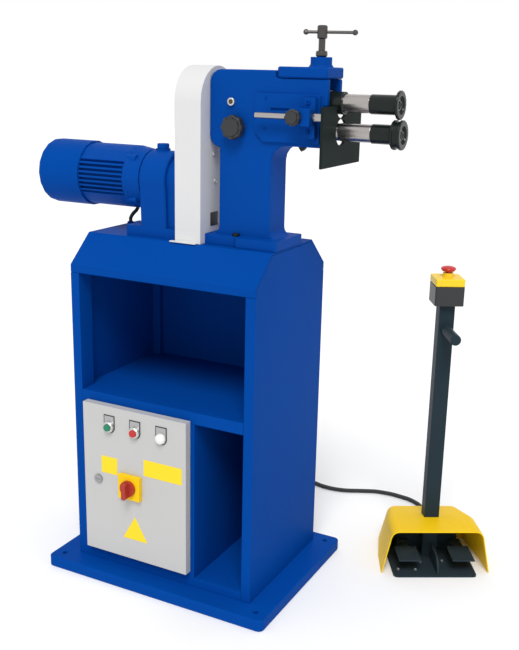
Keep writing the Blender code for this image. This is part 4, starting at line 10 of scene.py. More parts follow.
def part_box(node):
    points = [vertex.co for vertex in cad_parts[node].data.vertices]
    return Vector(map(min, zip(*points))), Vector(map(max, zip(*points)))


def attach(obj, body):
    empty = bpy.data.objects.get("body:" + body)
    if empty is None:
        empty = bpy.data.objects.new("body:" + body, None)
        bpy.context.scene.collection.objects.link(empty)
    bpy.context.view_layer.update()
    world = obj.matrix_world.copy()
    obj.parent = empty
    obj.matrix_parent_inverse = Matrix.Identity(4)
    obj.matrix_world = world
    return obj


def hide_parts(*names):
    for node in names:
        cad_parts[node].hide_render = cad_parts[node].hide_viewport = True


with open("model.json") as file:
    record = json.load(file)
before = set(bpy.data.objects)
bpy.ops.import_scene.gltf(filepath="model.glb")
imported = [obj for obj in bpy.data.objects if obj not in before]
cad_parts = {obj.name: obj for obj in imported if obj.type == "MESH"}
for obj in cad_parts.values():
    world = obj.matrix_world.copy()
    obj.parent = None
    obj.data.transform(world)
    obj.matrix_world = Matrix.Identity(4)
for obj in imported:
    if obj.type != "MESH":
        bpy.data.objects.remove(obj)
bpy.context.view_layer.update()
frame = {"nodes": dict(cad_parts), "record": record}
BODY_OF = {
    node: body
    for body, nodes in frame["record"]["behaviour"]["bodies"].items()
    for node in nodes
}
SLOT_OF = {part["node"]: part["material_slot"] for part in frame["record"]["subparts"]}

# Places, turns, and ways as the operator sees them
ORIGIN = (0, 0, 0)
UNTURNED = (0, 0, 0)
QUARTER_TURN = math.radians(90)
UP = (0, 0, 1)
TO_FRONT = (0, -1, 0)
TO_LEFT = (-1, 0, 0)
TO_RIGHT = (1, 0, 0)

# Camera
CAMERA_PLACE = (1.2043, -1.9775, 1.3043)
CAMERA_YAW = 27.4304
CAMERA_PITCH = 15.4936
CAMERA_ROLL = 1.189
CAMERA_REACH = 100.0
SENSOR = 36.0
LENS = 51.743

# Light: the world looks white, and lights the part less than it looks
WHITE = (1.0, 1.0, 1.0, 1.0)
WORLD_STRENGTH = 0.66
SEEN_STRENGTH = 1.0
SUN_STRENGTH = 2.0
SUN_ANGLE = 25.0
SUN_TURN = (38.0, 0.0, 24.0)

# Floor
FLOOR_SIZE = 30.0
FLOOR_DROP = 0.0002
FLOOR_COLOUR = (0.95, 0.95, 0.95, 1.0)
FLOOR_ROUGHNESS = 0.9

# What all finishes share: a slow drift of tone, a fine grain, and dust on what faces up
DRIFT_SCALE = 5.0
DRIFT_DETAIL = 3.0
DRIFT_MIDDLE = 0.5
ROUGHNESS_DRIFT = 0.10
GRAIN_DETAIL = 2.0
RELIEF_DEPTH = 0.001
DUST_COLOUR = (0.45, 0.44, 0.42, 1.0)
DUST_SLOPE_START = 0.6
DUST_SLOPE_END = 1.0
DUST_SCALE = 18.0
DUST_DETAIL = 6.0
# The colour sockets of a mix node, which shares their names with its other sockets
MIX_FIRST = 6
MIX_SECOND = 7
MIX_RESULT = 2

BLUE = (0.0008, 0.0560, 0.310)
BRUSHED = (14.0, 1.0, 1.0)
LOOKS = {
    "blue_paint": dict(colour=BLUE, roughness=0.46, drift=0.12, bump=0.08, grain=1400.0,
                       dust=0.0, gloss=0.015),
    "cast_blue": dict(colour=BLUE, roughness=0.50, drift=0.16, bump=0.26, grain=520.0,
                      dust=0.0, gloss=0.03),
    "aluminium_blue": dict(colour=BLUE, roughness=0.48, drift=0.14, bump=0.18, grain=700.0,
                           dust=0.0, gloss=0.03),
    "grey_paint": dict(colour=(0.50, 0.50, 0.495), roughness=0.45, drift=0.05, bump=0.14,
                       grain=1500.0, gloss=0.3),
    "white_paint": dict(colour=(0.66, 0.66, 0.66), roughness=0.42, drift=0.05, bump=0.08,
                        gloss=0.3),
    "yellow_paint": dict(colour=(0.88, 0.56, 0.008), roughness=0.42, drift=0.08, bump=0.08,
                         dust=0.0, gloss=0.08),
    "yellow_plastic": dict(colour=(0.88, 0.60, 0.018), roughness=0.38, drift=0.06, gloss=0.3),
    "slate_paint": dict(colour=(0.0190, 0.0330, 0.0430), roughness=0.44, drift=0.20, bump=0.10,
                        dust=0.02, gloss=0.06),
    "black_plastic": dict(colour=(0.0168, 0.0185, 0.0195), roughness=0.42, drift=0.25,
                          bump=0.16, grain=1100.0),
    "black_rubber": dict(colour=(0.0140, 0.0155, 0.0160), roughness=0.55, drift=0.25,
                         bump=0.12),
    "red_plastic": dict(colour=(0.50, 0.012, 0.012), roughness=0.32, drift=0.08, bump=0.03),
    "green_plastic": dict(colour=(0.003, 0.19, 0.095), roughness=0.32, drift=0.08, bump=0.03),
    "lamp_lens": dict(colour=(0.80, 0.80, 0.78), roughness=0.18, drift=0.03, bump=0.02,
                      coat=0.4),
    "zinc_plate": dict(colour=(0.60, 0.60, 0.58), roughness=0.36, metallic=0.9, drift=0.12,
                       bump=0.05, dust=0.02),
    "ground_steel": dict(colour=(0.42, 0.395, 0.38), roughness=0.24, metallic=1.0, drift=0.08,
                         bump=0.03, grain=300.0, dust=0.0, stretch=BRUSHED),
    "black_steel": dict(colour=(0.009, 0.013, 0.012), roughness=0.20, metallic=0.10,
                        drift=0.30, bump=0.03, grain=800.0, dust=0.0, gloss=0.24),
    "bronze": dict(colour=(0.42, 0.23, 0.09), roughness=0.34, metallic=1.0, drift=0.15,
                   dust=0.0),
    "dark_steel": dict(colour=(0.085, 0.080, 0.076), roughness=0.30, metallic=0.9, drift=0.20,
                       bump=0.05, dust=0.0),
    "oiled_brass": dict(colour=(0.085, 0.060, 0.020), roughness=0.30, metallic=0.6,
                        drift=0.20, bump=0.05, dust=0.0),
    "plate_black": dict(colour=(0.012, 0.019, 0.018), roughness=0.50, drift=0.25, bump=0.05,
                        dust=0.0, gloss=0.03),
    "knob_red": dict(colour=(0.376, 0.0319, 0.0212), roughness=0.34, drift=0.08, bump=0.03,
                     dust=0.0, gloss=0.3),
    "lock_chrome": dict(colour=(0.36, 0.36, 0.37), roughness=0.16, metallic=1.0, drift=0.20,
                        bump=0.02, dust=0.0),
    "label_yellow": dict(colour=(0.90, 0.66, 0.020), roughness=0.38, drift=0.04, bump=0.02,
                         dust=0.0, gloss=0.2),
    "legend_silver": dict(colour=(0.42, 0.42, 0.43), roughness=0.34, metallic=0.7, drift=0.08,
                          bump=0.03, dust=0.0),
}
# Nodes that look different from the rest of their slot
SPECIAL_LOOKS = {
    "main_switch_knob": "knob_red",
    "door_lock": "lock_chrome",
    "tommy_bar": "dark_steel",
    "pressure_screw": "dark_steel",
    "lock_nut": "dark_steel",
    "stop_plate": "plate_black",
}

# Softened edges of the carried-over pieces, in metres
PLAIN_EDGE = 0.0006
EDGES = {
    "base_plate": 0.0012,
    "top_cover": 0.0016,
    "side_panel_left": 0.0012,
    "side_panel_right": 0.0012,
    "shelf": 0.0008,
    "floor_pan": 0.0008,
    "enclosure_door": 0.0005,
    "enclosure_body": 0.0004,
    "head_casting": 0.0012,
    "head_cap": 0.0012,
    "gearbox_housing": 0.0014,
    "drive_guard": 0.0007,
    "fan_cowl": 0.0006,
    "motor_fan": 0.0004,
    "pedal_hood": 0.0009,
    "pedal_column": 0.0007,
    "driven_gear": 0.0003,
    "drive_gear": 0.0003,
    "shaft_lock_knob": 0.0022,
    "stop_clamp_knob": 0.0016,
    "lower_roller": 0.0012,
    "upper_roller": 0.0012,
}
MERGE_REACH = 0.00002
FLAT_ANGLE = 0.5
EDGE_ANGLE = 38.0
EDGE_SEGMENTS = 2
SMOOTH_ANGLE = 32.0

# Conduit, with the same route as the solid
CONDUIT_ROUTE = [
    (-0.0500, 0.2153, 0.1200),
    (-0.0500, 0.2250, 0.1200),
    (-0.0500, 0.2350, 0.1200),
    (-0.0490, 0.2800, 0.1120),
    (-0.0430, 0.3600, 0.0620),
    (-0.0250, 0.4400, 0.0180),
    (0.0100, 0.5150, 0.0068),
    (0.0500, 0.5650, 0.0067),
    (0.0856, 0.5780, 0.0067),
    (0.1180, 0.5710, 0.0067),
    (0.1560, 0.5690, 0.0067),
    (0.1977, 0.5774, 0.0067),
    (0.2407, 0.5982, 0.0067),
    (0.2860, 0.6190, 0.0067),
    (0.3315, 0.6259, 0.0067),
    (0.3664, 0.6235, 0.0067),
    (0.4009, 0.6170, 0.0067),
    (0.4371, 0.5960, 0.0067),
    (0.4620, 0.5550, 0.0100),
    (0.4740, 0.5050, 0.0240),
]
STATION = (0.6011, 0.2396)
STATION_TURN = 29.7
CONDUIT_EXIT = 0.2093
CONDUIT_EXIT_Z = 0.040
CONDUIT_RUNS = (0.020, 0.010, 0.0)
CONDUIT_CREST = 0.0063
CONDUIT_RIB_DEPTH = 0.0008
CONDUIT_PITCH = 0.0034
RINGS_PER_RIB = 6
CONDUIT_SIDES = 14
CURVE_STEPS = 12
PATH_POINTS = 90

# Plates on the enclosure's door and on the guard, in metres
DOOR_FACE = -0.2043
GUARD_SIDE = 0.0665
SINK = 0.0004
PLATE_THICK = 0.0004
PLATE_EDGE = PLATE_THICK / 3
BUTTON_ROW = (-0.1345, -0.057, 0.0205)
BUTTON_Z = 0.4245
LEGEND_WIDTH = 0.033
LEGEND_HEIGHT = 0.047
LEGEND_THICK = 0.0012
LEGEND_EDGE = LEGEND_THICK / 3
LEGEND_RISE = 0.007
LEGEND_INNER = 0.0025
LEGEND_ROUND = 0.0155
LEGEND_SEGMENTS = 8
# Name, left, right, low, high
LABELS = [
    ("small_label", -0.1617, -0.1130, 0.2958, 0.3413),
    ("wide_label", -0.0324, 0.0790, 0.3134, 0.3570),
]
TRIANGLE_PLACE = (-0.0611, 0.1494)
TRIANGLE_RADIUS = 0.0427
TRIANGLE_THICK = 2 * PLATE_THICK
TRIANGLE_SIDES = 3
GUARD_PLATE = ((GUARD_SIDE, -0.0537, 0.9302), (0.0671, -0.0189, 0.9629))

# Screws, bolts and round caps
HEXAGON = 6
SCREW_SIDES = 16
LOBE_SIDES = 20
EYE_SIDES = 24
ROLL_SCREW_SIDES = 24
CAP_SIDES = 32
SHOULDER_SIDES = 72
SOCKET_SHARE = 0.42
SOCKET_DEPTH_SHARE = 0.6
CHAMFER_SHARE = 0.12
CHAMFER_ANGLE = 50.0
BOSS_SPAN = (-0.1640, -0.1340)
# Radius, height, sides, slot
CLAMP_BOLT = (0.0052, 0.0040, HEXAGON, "cast_blue")
PANEL_SCREW = (0.0032, 0.0018, SCREW_SIDES, "cast_blue")
GUARD_BOLT = (0.0048, 0.0034, HEXAGON, "zinc_plate")
FOOT_BOLT = (0.0095, 0.0070, HEXAGON, "black_steel")
JAW_BOLT = (0.0080, 0.0120, HEXAGON, "black_steel")
ROLL_SCREW = (0.0090, 0.0030, ROLL_SCREW_SIDES, "black_steel")
PEDAL_SCREW = (0.0042, 0.0026, SCREW_SIDES, "zinc_plate")
MOTOR_BOSS = (0.0105, BOSS_SPAN[1] - BOSS_SPAN[0], CAP_SIDES, "aluminium_blue")
MOTOR_BOLT = (0.0055, 0.0050, HEXAGON, "aluminium_blue")
# Name, place, way out, kind
SCREWS = [
    ("clamp_bolt_1", (0.3290, -0.0833, 1.2300), TO_FRONT, CLAMP_BOLT),
    ("clamp_bolt_2", (0.3290, -0.0833, 1.1665), TO_FRONT, CLAMP_BOLT),
    ("panel_screw_1", (0.2169, -0.0670, 1.2364), TO_FRONT, PANEL_SCREW),
    ("panel_screw_2", (0.2150, -0.0670, 1.1689), TO_FRONT, PANEL_SCREW),
    ("guard_bolt_1", (GUARD_SIDE, -0.0414, 1.1000), TO_RIGHT, GUARD_BOLT),
    ("guard_bolt_2", (GUARD_SIDE, -0.0339, 1.0365), TO_RIGHT, GUARD_BOLT),
    ("foot_bolt", (0.1439, -0.0655, 0.9153), UP, FOOT_BOLT),
    ("pedal_screw_1", (0.5100, 0.2015, 0.0040), UP, PEDAL_SCREW),
    ("pedal_screw_2", (0.5510, 0.2225, 0.0040), UP, PEDAL_SCREW),
    ("pedal_screw_3", (0.5994, 0.3031, 0.0040), UP, PEDAL_SCREW),
    ("pedal_screw_4", (0.5493, 0.2699, 0.0040), UP, PEDAL_SCREW),
]
# Shaft, and a point to its right from which its end is looked for
ROLL_SCREWS = [
    ("lower_shaft", (0.6, -0.018, 1.166)),
    ("upper_shaft", (0.6, -0.018, 1.229)),
]
JAW_BOLT_START = (0.3024, -0.0500, 1.0800)
JAW_BOLT_WAY = (0.6, 0.0, -0.8)
JAW_BOLT_SUNK = 0.0040

# Star knobs, oil sight and motor end
STAR_KNOBS = ("shaft_lock_knob", "stop_clamp_knob")
KNOB_CAP_SHARE = 0.36
KNOB_CAP_HEIGHT = 0.0035
KNOB_LOBES = 8
LOBE_REACH = 0.80
LOBE_SHARE = 0.15
LOBE_HEIGHT = 0.0016
EYE_SHARE = 0.25
MOTOR_AXIS = (-0.018, 1.030)
SHOULDER = (-0.1645, -0.1500)
SHOULDER_RADIUS = 0.0775
SHOULDER_ROUND = 0.0095
SHOULDER_SEGMENTS = 5
BOSS_REACH = 0.0690
BOSS_ANGLES = (45, 135, 225, 315)


# Finishes

def add_sockets(group, way, kinds):
    for name, kind in kinds.items():
        group.interface.new_socket(name=name, in_out=way, socket_type="NodeSocket" + kind)


def add(tree, kind, **values):
    node = tree.nodes.new(kind)
    for name, value in values.items():
        setattr(node, name, value)
    return node


def fill(node, values):
    """Sets the values of a node's inputs, by name or by place."""
    for key, value in values.items():
        node.inputs[key].default_value = value


def make_grain_group():
    """Fine grain over a slow drift of tone: gives a colour, a roughness and a height."""
    group = bpy.data.node_groups.new("surface_grain", "ShaderNodeTree")
    add_sockets(group, "INPUT", {
        "Vector": "Vector", "Colour": "Color", "Drift": "Float", "Grain Scale": "Float",
        "Roughness": "Float"})
    add_sockets(group, "OUTPUT", {"Colour": "Color", "Roughness": "Float", "Height": "Float"})
    source = add(group, "NodeGroupInput")
    result = add(group, "NodeGroupOutput")
    slow = add(group, "ShaderNodeTexNoise")
    fill(slow, {"Scale": DRIFT_SCALE, "Detail": DRIFT_DETAIL})
    fine = add(group, "ShaderNodeTexNoise")
    fill(fine, {"Detail": GRAIN_DETAIL})
    centred = add(group, "ShaderNodeMath", operation="SUBTRACT")
    fill(centred, {1: DRIFT_MIDDLE})
    tone = add(group, "ShaderNodeMath", operation="MULTIPLY_ADD")
    fill(tone, {2: 1.0})
    shade = add(group, "ShaderNodeVectorMath", operation="SCALE")
    rough = add(group, "ShaderNodeMath", operation="MULTIPLY_ADD")
    fill(rough, {1: ROUGHNESS_DRIFT})
    link = group.links.new
    link(source.outputs["Vector"], slow.inputs["Vector"])
    link(source.outputs["Vector"], fine.inputs["Vector"])
    link(source.outputs["Grain Scale"], fine.inputs["Scale"])
    link(slow.outputs["Fac"], centred.inputs[0])
    link(centred.outputs[0], tone.inputs[0])
    link(source.outputs["Drift"], tone.inputs[1])
    link(source.outputs["Colour"], shade.inputs[0])
    link(tone.outputs[0], shade.inputs["Scale"])
    link(centred.outputs[0], rough.inputs[0])
    link(source.outputs["Roughness"], rough.inputs[2])
    link(shade.outputs[0], result.inputs["Colour"])
    link(rough.outputs[0], result.inputs["Roughness"])
    link(fine.outputs["Fac"], result.inputs["Height"])
    return group


def make_dust_group():
    """A thin pale dust that lies on what faces up."""
    group = bpy.data.node_groups.new("settled_dust", "ShaderNodeTree")
    add_sockets(group, "INPUT", {"Vector": "Vector", "Colour": "Color", "Amount": "Float"})
    add_sockets(group, "OUTPUT", {"Colour": "Color"})
    source = add(group, "NodeGroupInput")
    result = add(group, "NodeGroupOutput")
    shape = add(group, "ShaderNodeNewGeometry")
    parts = add(group, "ShaderNodeSeparateXYZ")
    up = add(group, "ShaderNodeMapRange")
    fill(up, {"From Min": DUST_SLOPE_START, "From Max": DUST_SLOPE_END})
    patch = add(group, "ShaderNodeTexNoise")
    fill(patch, {"Scale": DUST_SCALE, "Detail": DUST_DETAIL})
    share = add(group, "ShaderNodeMath", operation="MULTIPLY")
    mask = add(group, "ShaderNodeMath", operation="MULTIPLY")
    mix = add(group, "ShaderNodeMix", data_type="RGBA")
    fill(mix, {MIX_SECOND: DUST_COLOUR})
    link = group.links.new
    link(shape.outputs["Normal"], parts.inputs[0])
    link(parts.outputs["Z"], up.inputs["Value"])
    link(source.outputs["Vector"], patch.inputs["Vector"])
    link(patch.outputs["Fac"], share.inputs[0])
    link(up.outputs["Result"], share.inputs[1])
    link(share.outputs[0], mask.inputs[0])
    link(source.outputs["Amount"], mask.inputs[1])
    link(mask.outputs[0], mix.inputs["Factor"])
    link(source.outputs["Colour"], mix.inputs[MIX_FIRST])
    link(mix.outputs[MIX_RESULT], result.inputs["Colour"])
    return group


GRAIN = make_grain_group()
DUST = make_dust_group()


def make_finish(name, colour, roughness, metallic=0.0, drift=0.10, grain=900.0, bump=0.06,
                dust=0.03, coat=0.0, stretch=(1.0, 1.0, 1.0), gloss=0.5):
    material = bpy.data.materials.new(name)
    material.use_nodes = True
    material.diffuse_color = (*colour, 1.0)
    tree = material.node_tree
    shader = tree.nodes["Principled BSDF"]
    fill(shader, {"Metallic": metallic, "Coat Weight": coat, "Specular IOR Level": gloss})
    place = add(tree, "ShaderNodeTexCoord")
    mapping = add(tree, "ShaderNodeMapping")
    fill(mapping, {"Scale": stretch})
    surface = add(tree, "ShaderNodeGroup", node_tree=GRAIN)
    fill(surface, {"Colour": (*colour, 1.0), "Drift": drift, "Grain Scale": grain,
                   "Roughness": roughness})
    cover = add(tree, "ShaderNodeGroup", node_tree=DUST)
    fill(cover, {"Amount": dust})
    relief = add(tree, "ShaderNodeBump")
    fill(relief, {"Strength": bump, "Distance": RELIEF_DEPTH})
    link = tree.links.new
    link(place.outputs["Object"], mapping.inputs["Vector"])
    link(mapping.outputs["Vector"], surface.inputs["Vector"])
    link(place.outputs["Object"], cover.inputs["Vector"])
    link(surface.outputs["Colour"], cover.inputs["Colour"])
    link(cover.outputs["Colour"], shader.inputs["Base Color"])
    link(surface.outputs["Roughness"], shader.inputs["Roughness"])
    link(surface.outputs["Height"], relief.inputs["Height"])
    link(relief.outputs["Normal"], shader.inputs["Normal"])
    return material


FINISHES = {name: make_finish(name, **look) for name, look in LOOKS.items()}


# Helpers for modelling

def deselect():
    bpy.ops.object.select_all(action="DESELECT")


def choose(item):
    deselect()
    item.select_set(True)
    bpy.context.view_layer.objects.active = item


def bevelled(item, width, segments=EDGE_SEGMENTS, angle=EDGE_ANGLE):
    choose(item)
    step = item.modifiers.new("soft_edge", "BEVEL")
    step.width = width
    step.segments = segments
    step.limit_method = "ANGLE"
    step.angle_limit = math.radians(angle)
    bpy.ops.object.modifier_apply(modifier=step.name)


def settle(item, name, material):
    """Puts the piece's place in its mesh, names it and gives it a finish."""
    choose(item)
    bpy.ops.object.transform_apply(location=True, rotation=True, scale=True)
    bpy.ops.object.shade_smooth_by_angle(angle=math.radians(SMOOTH_ANGLE))
    step = item.modifiers.new("flat_faces", "WEIGHTED_NORMAL")
    step.keep_sharp = True
    bpy.ops.object.modifier_apply(modifier=step.name)
    item.name = name
    item.data.name = name
    item.data.materials.clear()
    item.data.materials.append(material)


def carried(item, body, slot, *nodes):
    """A finished piece moves with a body, and stands for the nodes it replaces."""
    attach(item, body)
    if nodes:
        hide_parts(*nodes)


def finish_piece(item, name, body, slot, look=None):
    """Settles a small piece with the look of its slot, or another one, on a body."""
    settle(item, name, FINISHES[look or slot])
    carried(item, body, slot)


MODELS = {}


def model_of(shape, *sizes):
    """The mesh that a shaping function gives for some sizes, shaped once and kept for copies."""
    if (shape, sizes) not in MODELS:
        item = shape(*sizes)
        MODELS[shape, sizes] = item.data
        bpy.data.objects.remove(item)
    return MODELS[shape, sizes]


def set_copy(model, name, place, turn, body, slot, look=None):
    """A copy of a model, with a mesh of its own, in its place on a body."""
    item = bpy.data.objects.new(name, model.copy())
    bpy.context.scene.collection.objects.link(item)
    item.location = place
    item.rotation_euler = turn
    finish_piece(item, name, body, slot, look)


def fresh_cylinder(sides, radius, depth, place=ORIGIN, turn=UNTURNED):
    deselect()
    bpy.ops.mesh.primitive_cylinder_add(
        vertices=sides, radius=radius, depth=depth, location=place, rotation=turn)
    return bpy.context.object


def pick_nothing(kind):
    """Readies the active mesh for picking edges or faces."""
    bpy.ops.object.mode_set(mode="EDIT")
    bpy.ops.mesh.select_mode(type=kind)
    bpy.ops.mesh.select_all(action="DESELECT")
    bpy.ops.object.mode_set(mode="OBJECT")


# Camera, light and floor

def make_camera():
    yaw = math.radians(CAMERA_YAW)
    pitch = math.radians(CAMERA_PITCH)
    roll = math.radians(CAMERA_ROLL)
    ahead = Vector((-math.sin(yaw) * math.cos(pitch), math.cos(yaw) * math.cos(pitch),
                    -math.sin(pitch)))
    level = Vector((math.cos(yaw), math.sin(yaw), 0))
    over = level.cross(ahead)
    right = level * math.cos(roll) + over * math.sin(roll)
    up = over * math.cos(roll) - level * math.sin(roll)
    data = bpy.data.cameras.new("camera")
    data.sensor_width = SENSOR
    data.lens = LENS
    data.clip_end = CAMERA_REACH
    item = bpy.data.objects.new("camera", data)
    bpy.context.scene.collection.objects.link(item)
    turn = Matrix((right, up, -ahead)).transposed().to_4x4()
    item.matrix_world = Matrix.Translation(CAMERA_PLACE) @ turn
    bpy.context.scene.camera = item


def make_world():
    world = bpy.data.worlds.new("studio")
    bpy.context.scene.world = world
    world.use_nodes = True
    tree = world.node_tree
    back = tree.nodes["Background"]
    fill(back, {"Color": WHITE})
    seen = add(tree, "ShaderNodeLightPath")
    either = add(tree, "ShaderNodeMath", operation="MAXIMUM")
    through = add(tree, "ShaderNodeMath", operation="MAXIMUM")
    level = add(tree, "ShaderNodeMapRange")
    fill(level, {"To Min": WORLD_STRENGTH, "To Max": SEEN_STRENGTH})
    link = tree.links.new
    link(seen.outputs["Is Camera Ray"], either.inputs[0])
    link(seen.outputs["Is Glossy Ray"], either.inputs[1])
    link(either.outputs[0], through.inputs[0])
    link(seen.outputs["Is Transmission Ray"], through.inputs[1])
    link(through.outputs[0], level.inputs["Value"])
    link(level.outputs["Result"], back.inputs["Strength"])
    light = bpy.data.lights.new("soft_sun", "SUN")
    light.energy = SUN_STRENGTH
    light.angle = math.radians(SUN_ANGLE)
    lamp = bpy.data.objects.new("soft_sun", light)
    lamp.rotation_euler = [math.radians(angle) for angle in SUN_TURN]
    bpy.context.scene.collection.objects.link(lamp)


def make_floor():
    deselect()
    bpy.ops.mesh.primitive_plane_add(size=FLOOR_SIZE, location=(0, 0, -FLOOR_DROP))
    floor = bpy.context.object
    material = bpy.data.materials.new("studio_floor")
    material.use_nodes = True
    shader = material.node_tree.nodes["Principled BSDF"]
    fill(shader, {"Base Color": FLOOR_COLOUR, "Roughness": FLOOR_ROUGHNESS,
                  "Specular IOR Level": 0.0})
    settle(floor, "studio_floor", material)


# Conduit

def smooth_points(route, count):
    """Evenly spaced points on a smooth curve through a route, and the curve's length."""
    knots = [Vector(point) for point in route]
    knots = [2 * knots[0] - knots[1]] + knots + [2 * knots[-1] - knots[-2]]
    dense = []
    for index in range(1, len(knots) - 2):
        before, here, after, beyond = knots[index - 1:index + 3]
        for step in range(CURVE_STEPS):
            t = step / CURVE_STEPS
            dense.append(0.5 * (2 * here + (after - before) * t
                                + (2 * before - 5 * here + 4 * after - beyond) * t ** 2
                                + (3 * here - before - 3 * after + beyond) * t ** 3))
    dense.append(knots[-2])
    lengths = [0.0]
    for first, last in zip(dense, dense[1:]):
        lengths.append(lengths[-1] + (last - first).length)
    points = []
    index = 0
    for number in range(count):
        target = lengths[-1] * number / (count - 1)
        while index < len(dense) - 2 and lengths[index + 1] < target:
            index += 1
        span = lengths[index + 1] - lengths[index]
        points.append(dense[index].lerp(dense[index + 1], (target - lengths[index]) / span))
    return points, lengths[-1]


def conduit_route():
    """The route from the cabinet, with the straight run into the gland at the pedals."""
    turn = math.radians(STATION_TURN)
    route = list(CONDUIT_ROUTE)
    for run in CONDUIT_RUNS:
        y = CONDUIT_EXIT + run
        route.append((STATION[0] - y * math.sin(turn), STATION[1] + y * math.cos(turn),
                      CONDUIT_EXIT_Z))
    return route


def conduit_rings(shape, middles):
    """Rings of points along the route, whose radius rises and falls once for each rib."""
    rings = []
    side = Vector(UP)
    final = len(middles) - 1
    for index, middle in enumerate(middles):
        ahead = middles[min(index + 1, final)] - middles[max(index - 1, 0)]
        ahead.normalize()
        side = (side - ahead * side.dot(ahead)).normalized()
        other = ahead.cross(side)
        wave = (1 - math.cos(math.tau * index / RINGS_PER_RIB)) / 2
        radius = CONDUIT_CREST - CONDUIT_RIB_DEPTH * (1 - wave)
        ring = []
        for step in range(CONDUIT_SIDES):
            angle = math.tau * step / CONDUIT_SIDES
            out = side * radius * math.cos(angle)
            over = other * radius * math.sin(angle)
            ring.append(shape.verts.new(middle + out + over))
        rings.append(ring)
    return rings


def make_conduit():
    """A corrugated hose with closed ends."""
    route = conduit_route()
    path, length = smooth_points(route, PATH_POINTS)
    ribs = round(length / CONDUIT_PITCH)
    middles, _ = smooth_points(route, ribs * RINGS_PER_RIB + 1)
    shape = bmesh.new()
    rings = conduit_rings(shape, middles)
    for ring, following in zip(rings, rings[1:]):
        for step in range(CONDUIT_SIDES):
            after = (step + 1) % CONDUIT_SIDES
            shape.faces.new((ring[step], ring[after], following[after], following[step]))
    shape.faces.new(rings[0][::-1])
    shape.faces.new(rings[-1])
    bmesh.ops.recalc_face_normals(shape, faces=shape.faces)
    mesh = bpy.data.meshes.new("corrugated_conduit")
    shape.to_mesh(mesh)
    shape.free()
    mesh.shade_smooth()
    item = bpy.data.objects.new("corrugated_conduit", mesh)
    bpy.context.scene.collection.objects.link(item)
    mesh.materials.append(FINISHES["black_rubber"])
    carried(item, BODY_OF["pedal_cable"], "black_rubber", "pedal_cable")


# Carried-over pieces with their edges softened

def refine(node):
    source = frame["nodes"][node]
    item = bpy.data.objects.new(node + "_finished", source.data.copy())
    bpy.context.scene.collection.objects.link(item)
    choose(item)
    bpy.ops.object.mode_set(mode="EDIT")
    bpy.ops.mesh.select_all(action="SELECT")
    bpy.ops.mesh.remove_doubles(threshold=MERGE_REACH)
    bpy.ops.mesh.dissolve_limited(angle_limit=math.radians(FLAT_ANGLE))
    bpy.ops.object.mode_set(mode="OBJECT")
    bevelled(item, EDGES.get(node, PLAIN_EDGE))
    settle(item, node + "_finished", FINISHES[SPECIAL_LOOKS.get(node, SLOT_OF[node])])
    carried(item, BODY_OF[node], SLOT_OF[node], node)


# Plates

def round_foot(item, low_z, radius):
    """Rounds the two lower corners of an upright plate."""
    choose(item)
    pick_nothing("EDGE")
    points = item.data.vertices
    for edge in item.data.edges:
        first, last = (points[index].co for index in edge.vertices)
        level = abs(first.z - low_z) < SINK and abs(last.z - low_z) < SINK
        edge.select = level and abs(first.x - last.x) < SINK
    bpy.ops.object.mode_set(mode="EDIT")
    bpy.ops.mesh.bevel(offset=radius, segments=LEGEND_SEGMENTS, affect="EDGES")
    bpy.ops.object.mode_set(mode="OBJECT")


def shape_plate(size, edge, foot):
    """Shapes a plate about the origin, round at its foot if asked."""
    deselect()
    bpy.ops.mesh.primitive_cube_add(size=1, location=ORIGIN, scale=size)
    item = bpy.context.object
    bpy.ops.object.transform_apply(location=True, rotation=True, scale=True)
    if foot:
        round_foot(item, -size[2] / 2, foot)
    bevelled(item, edge)
    return item


def make_plate(name, low, high, body, slot, look=None):
    """A thin plate between two corners."""
    centre = [(a + b) / 2 for a, b in zip(low, high)]
    size = tuple(b - a for a, b in zip(low, high))
    set_copy(model_of(shape_plate, size, PLATE_EDGE, 0.0), name, centre, UNTURNED, body, slot, look)


def make_legends():
    """A dark frame with a silver face behind each button, round at its foot."""
    front = DOOR_FACE - LEGEND_THICK
    middle = BUTTON_Z + LEGEND_RISE
    rims = 2 * LEGEND_INNER
    holder = model_of(shape_plate, (LEGEND_WIDTH, LEGEND_THICK, LEGEND_HEIGHT), LEGEND_EDGE,
                      LEGEND_ROUND)
    face = model_of(shape_plate, (LEGEND_WIDTH - rims, 2 * PLATE_THICK, LEGEND_HEIGHT - rims),
                    PLATE_EDGE, LEGEND_ROUND - LEGEND_INNER)
    for number, x in enumerate(BUTTON_ROW, 1):
        set_copy(holder, f"legend_frame_{number}", (x, (front + DOOR_FACE) / 2, middle), UNTURNED,
                 "door", "black_plastic")
        set_copy(face, f"legend_face_{number}", (x, front, middle), UNTURNED,
                 "door", "zinc_plate", "legend_silver")


def make_labels():
    """Blank yellow plates where the door carries its labels, and a blank three-sided one."""
    for name, left, right, low, high in LABELS:
        make_plate(name, (left, DOOR_FACE - PLATE_THICK, low), (right, DOOR_FACE + SINK, high),
                   "door", "yellow_plastic", "label_yellow")
    place = (TRIANGLE_PLACE[0], DOOR_FACE, TRIANGLE_PLACE[1])
    item = fresh_cylinder(TRIANGLE_SIDES, TRIANGLE_RADIUS, TRIANGLE_THICK, place,
                          (QUARTER_TURN, 0, 0))
    bevelled(item, PLATE_EDGE)
    finish_piece(item, "three_sided_label", "door", "yellow_plastic", "label_yellow")


# Screws, bolts and round caps

def sink_socket(item, rim, depth):
    """Sinks the middle of the top face of a fresh cylinder."""
    top = max(item.data.polygons, key=lambda polygon: polygon.center.z).index
    pick_nothing("FACE")
    item.data.polygons[top].select = True
    bpy.ops.object.mode_set(mode="EDIT")
    bpy.ops.mesh.inset(thickness=rim)
    bpy.ops.mesh.extrude_region_move(TRANSFORM_OT_translate={"value": (0, 0, -depth)})
    bpy.ops.object.mode_set(mode="OBJECT")


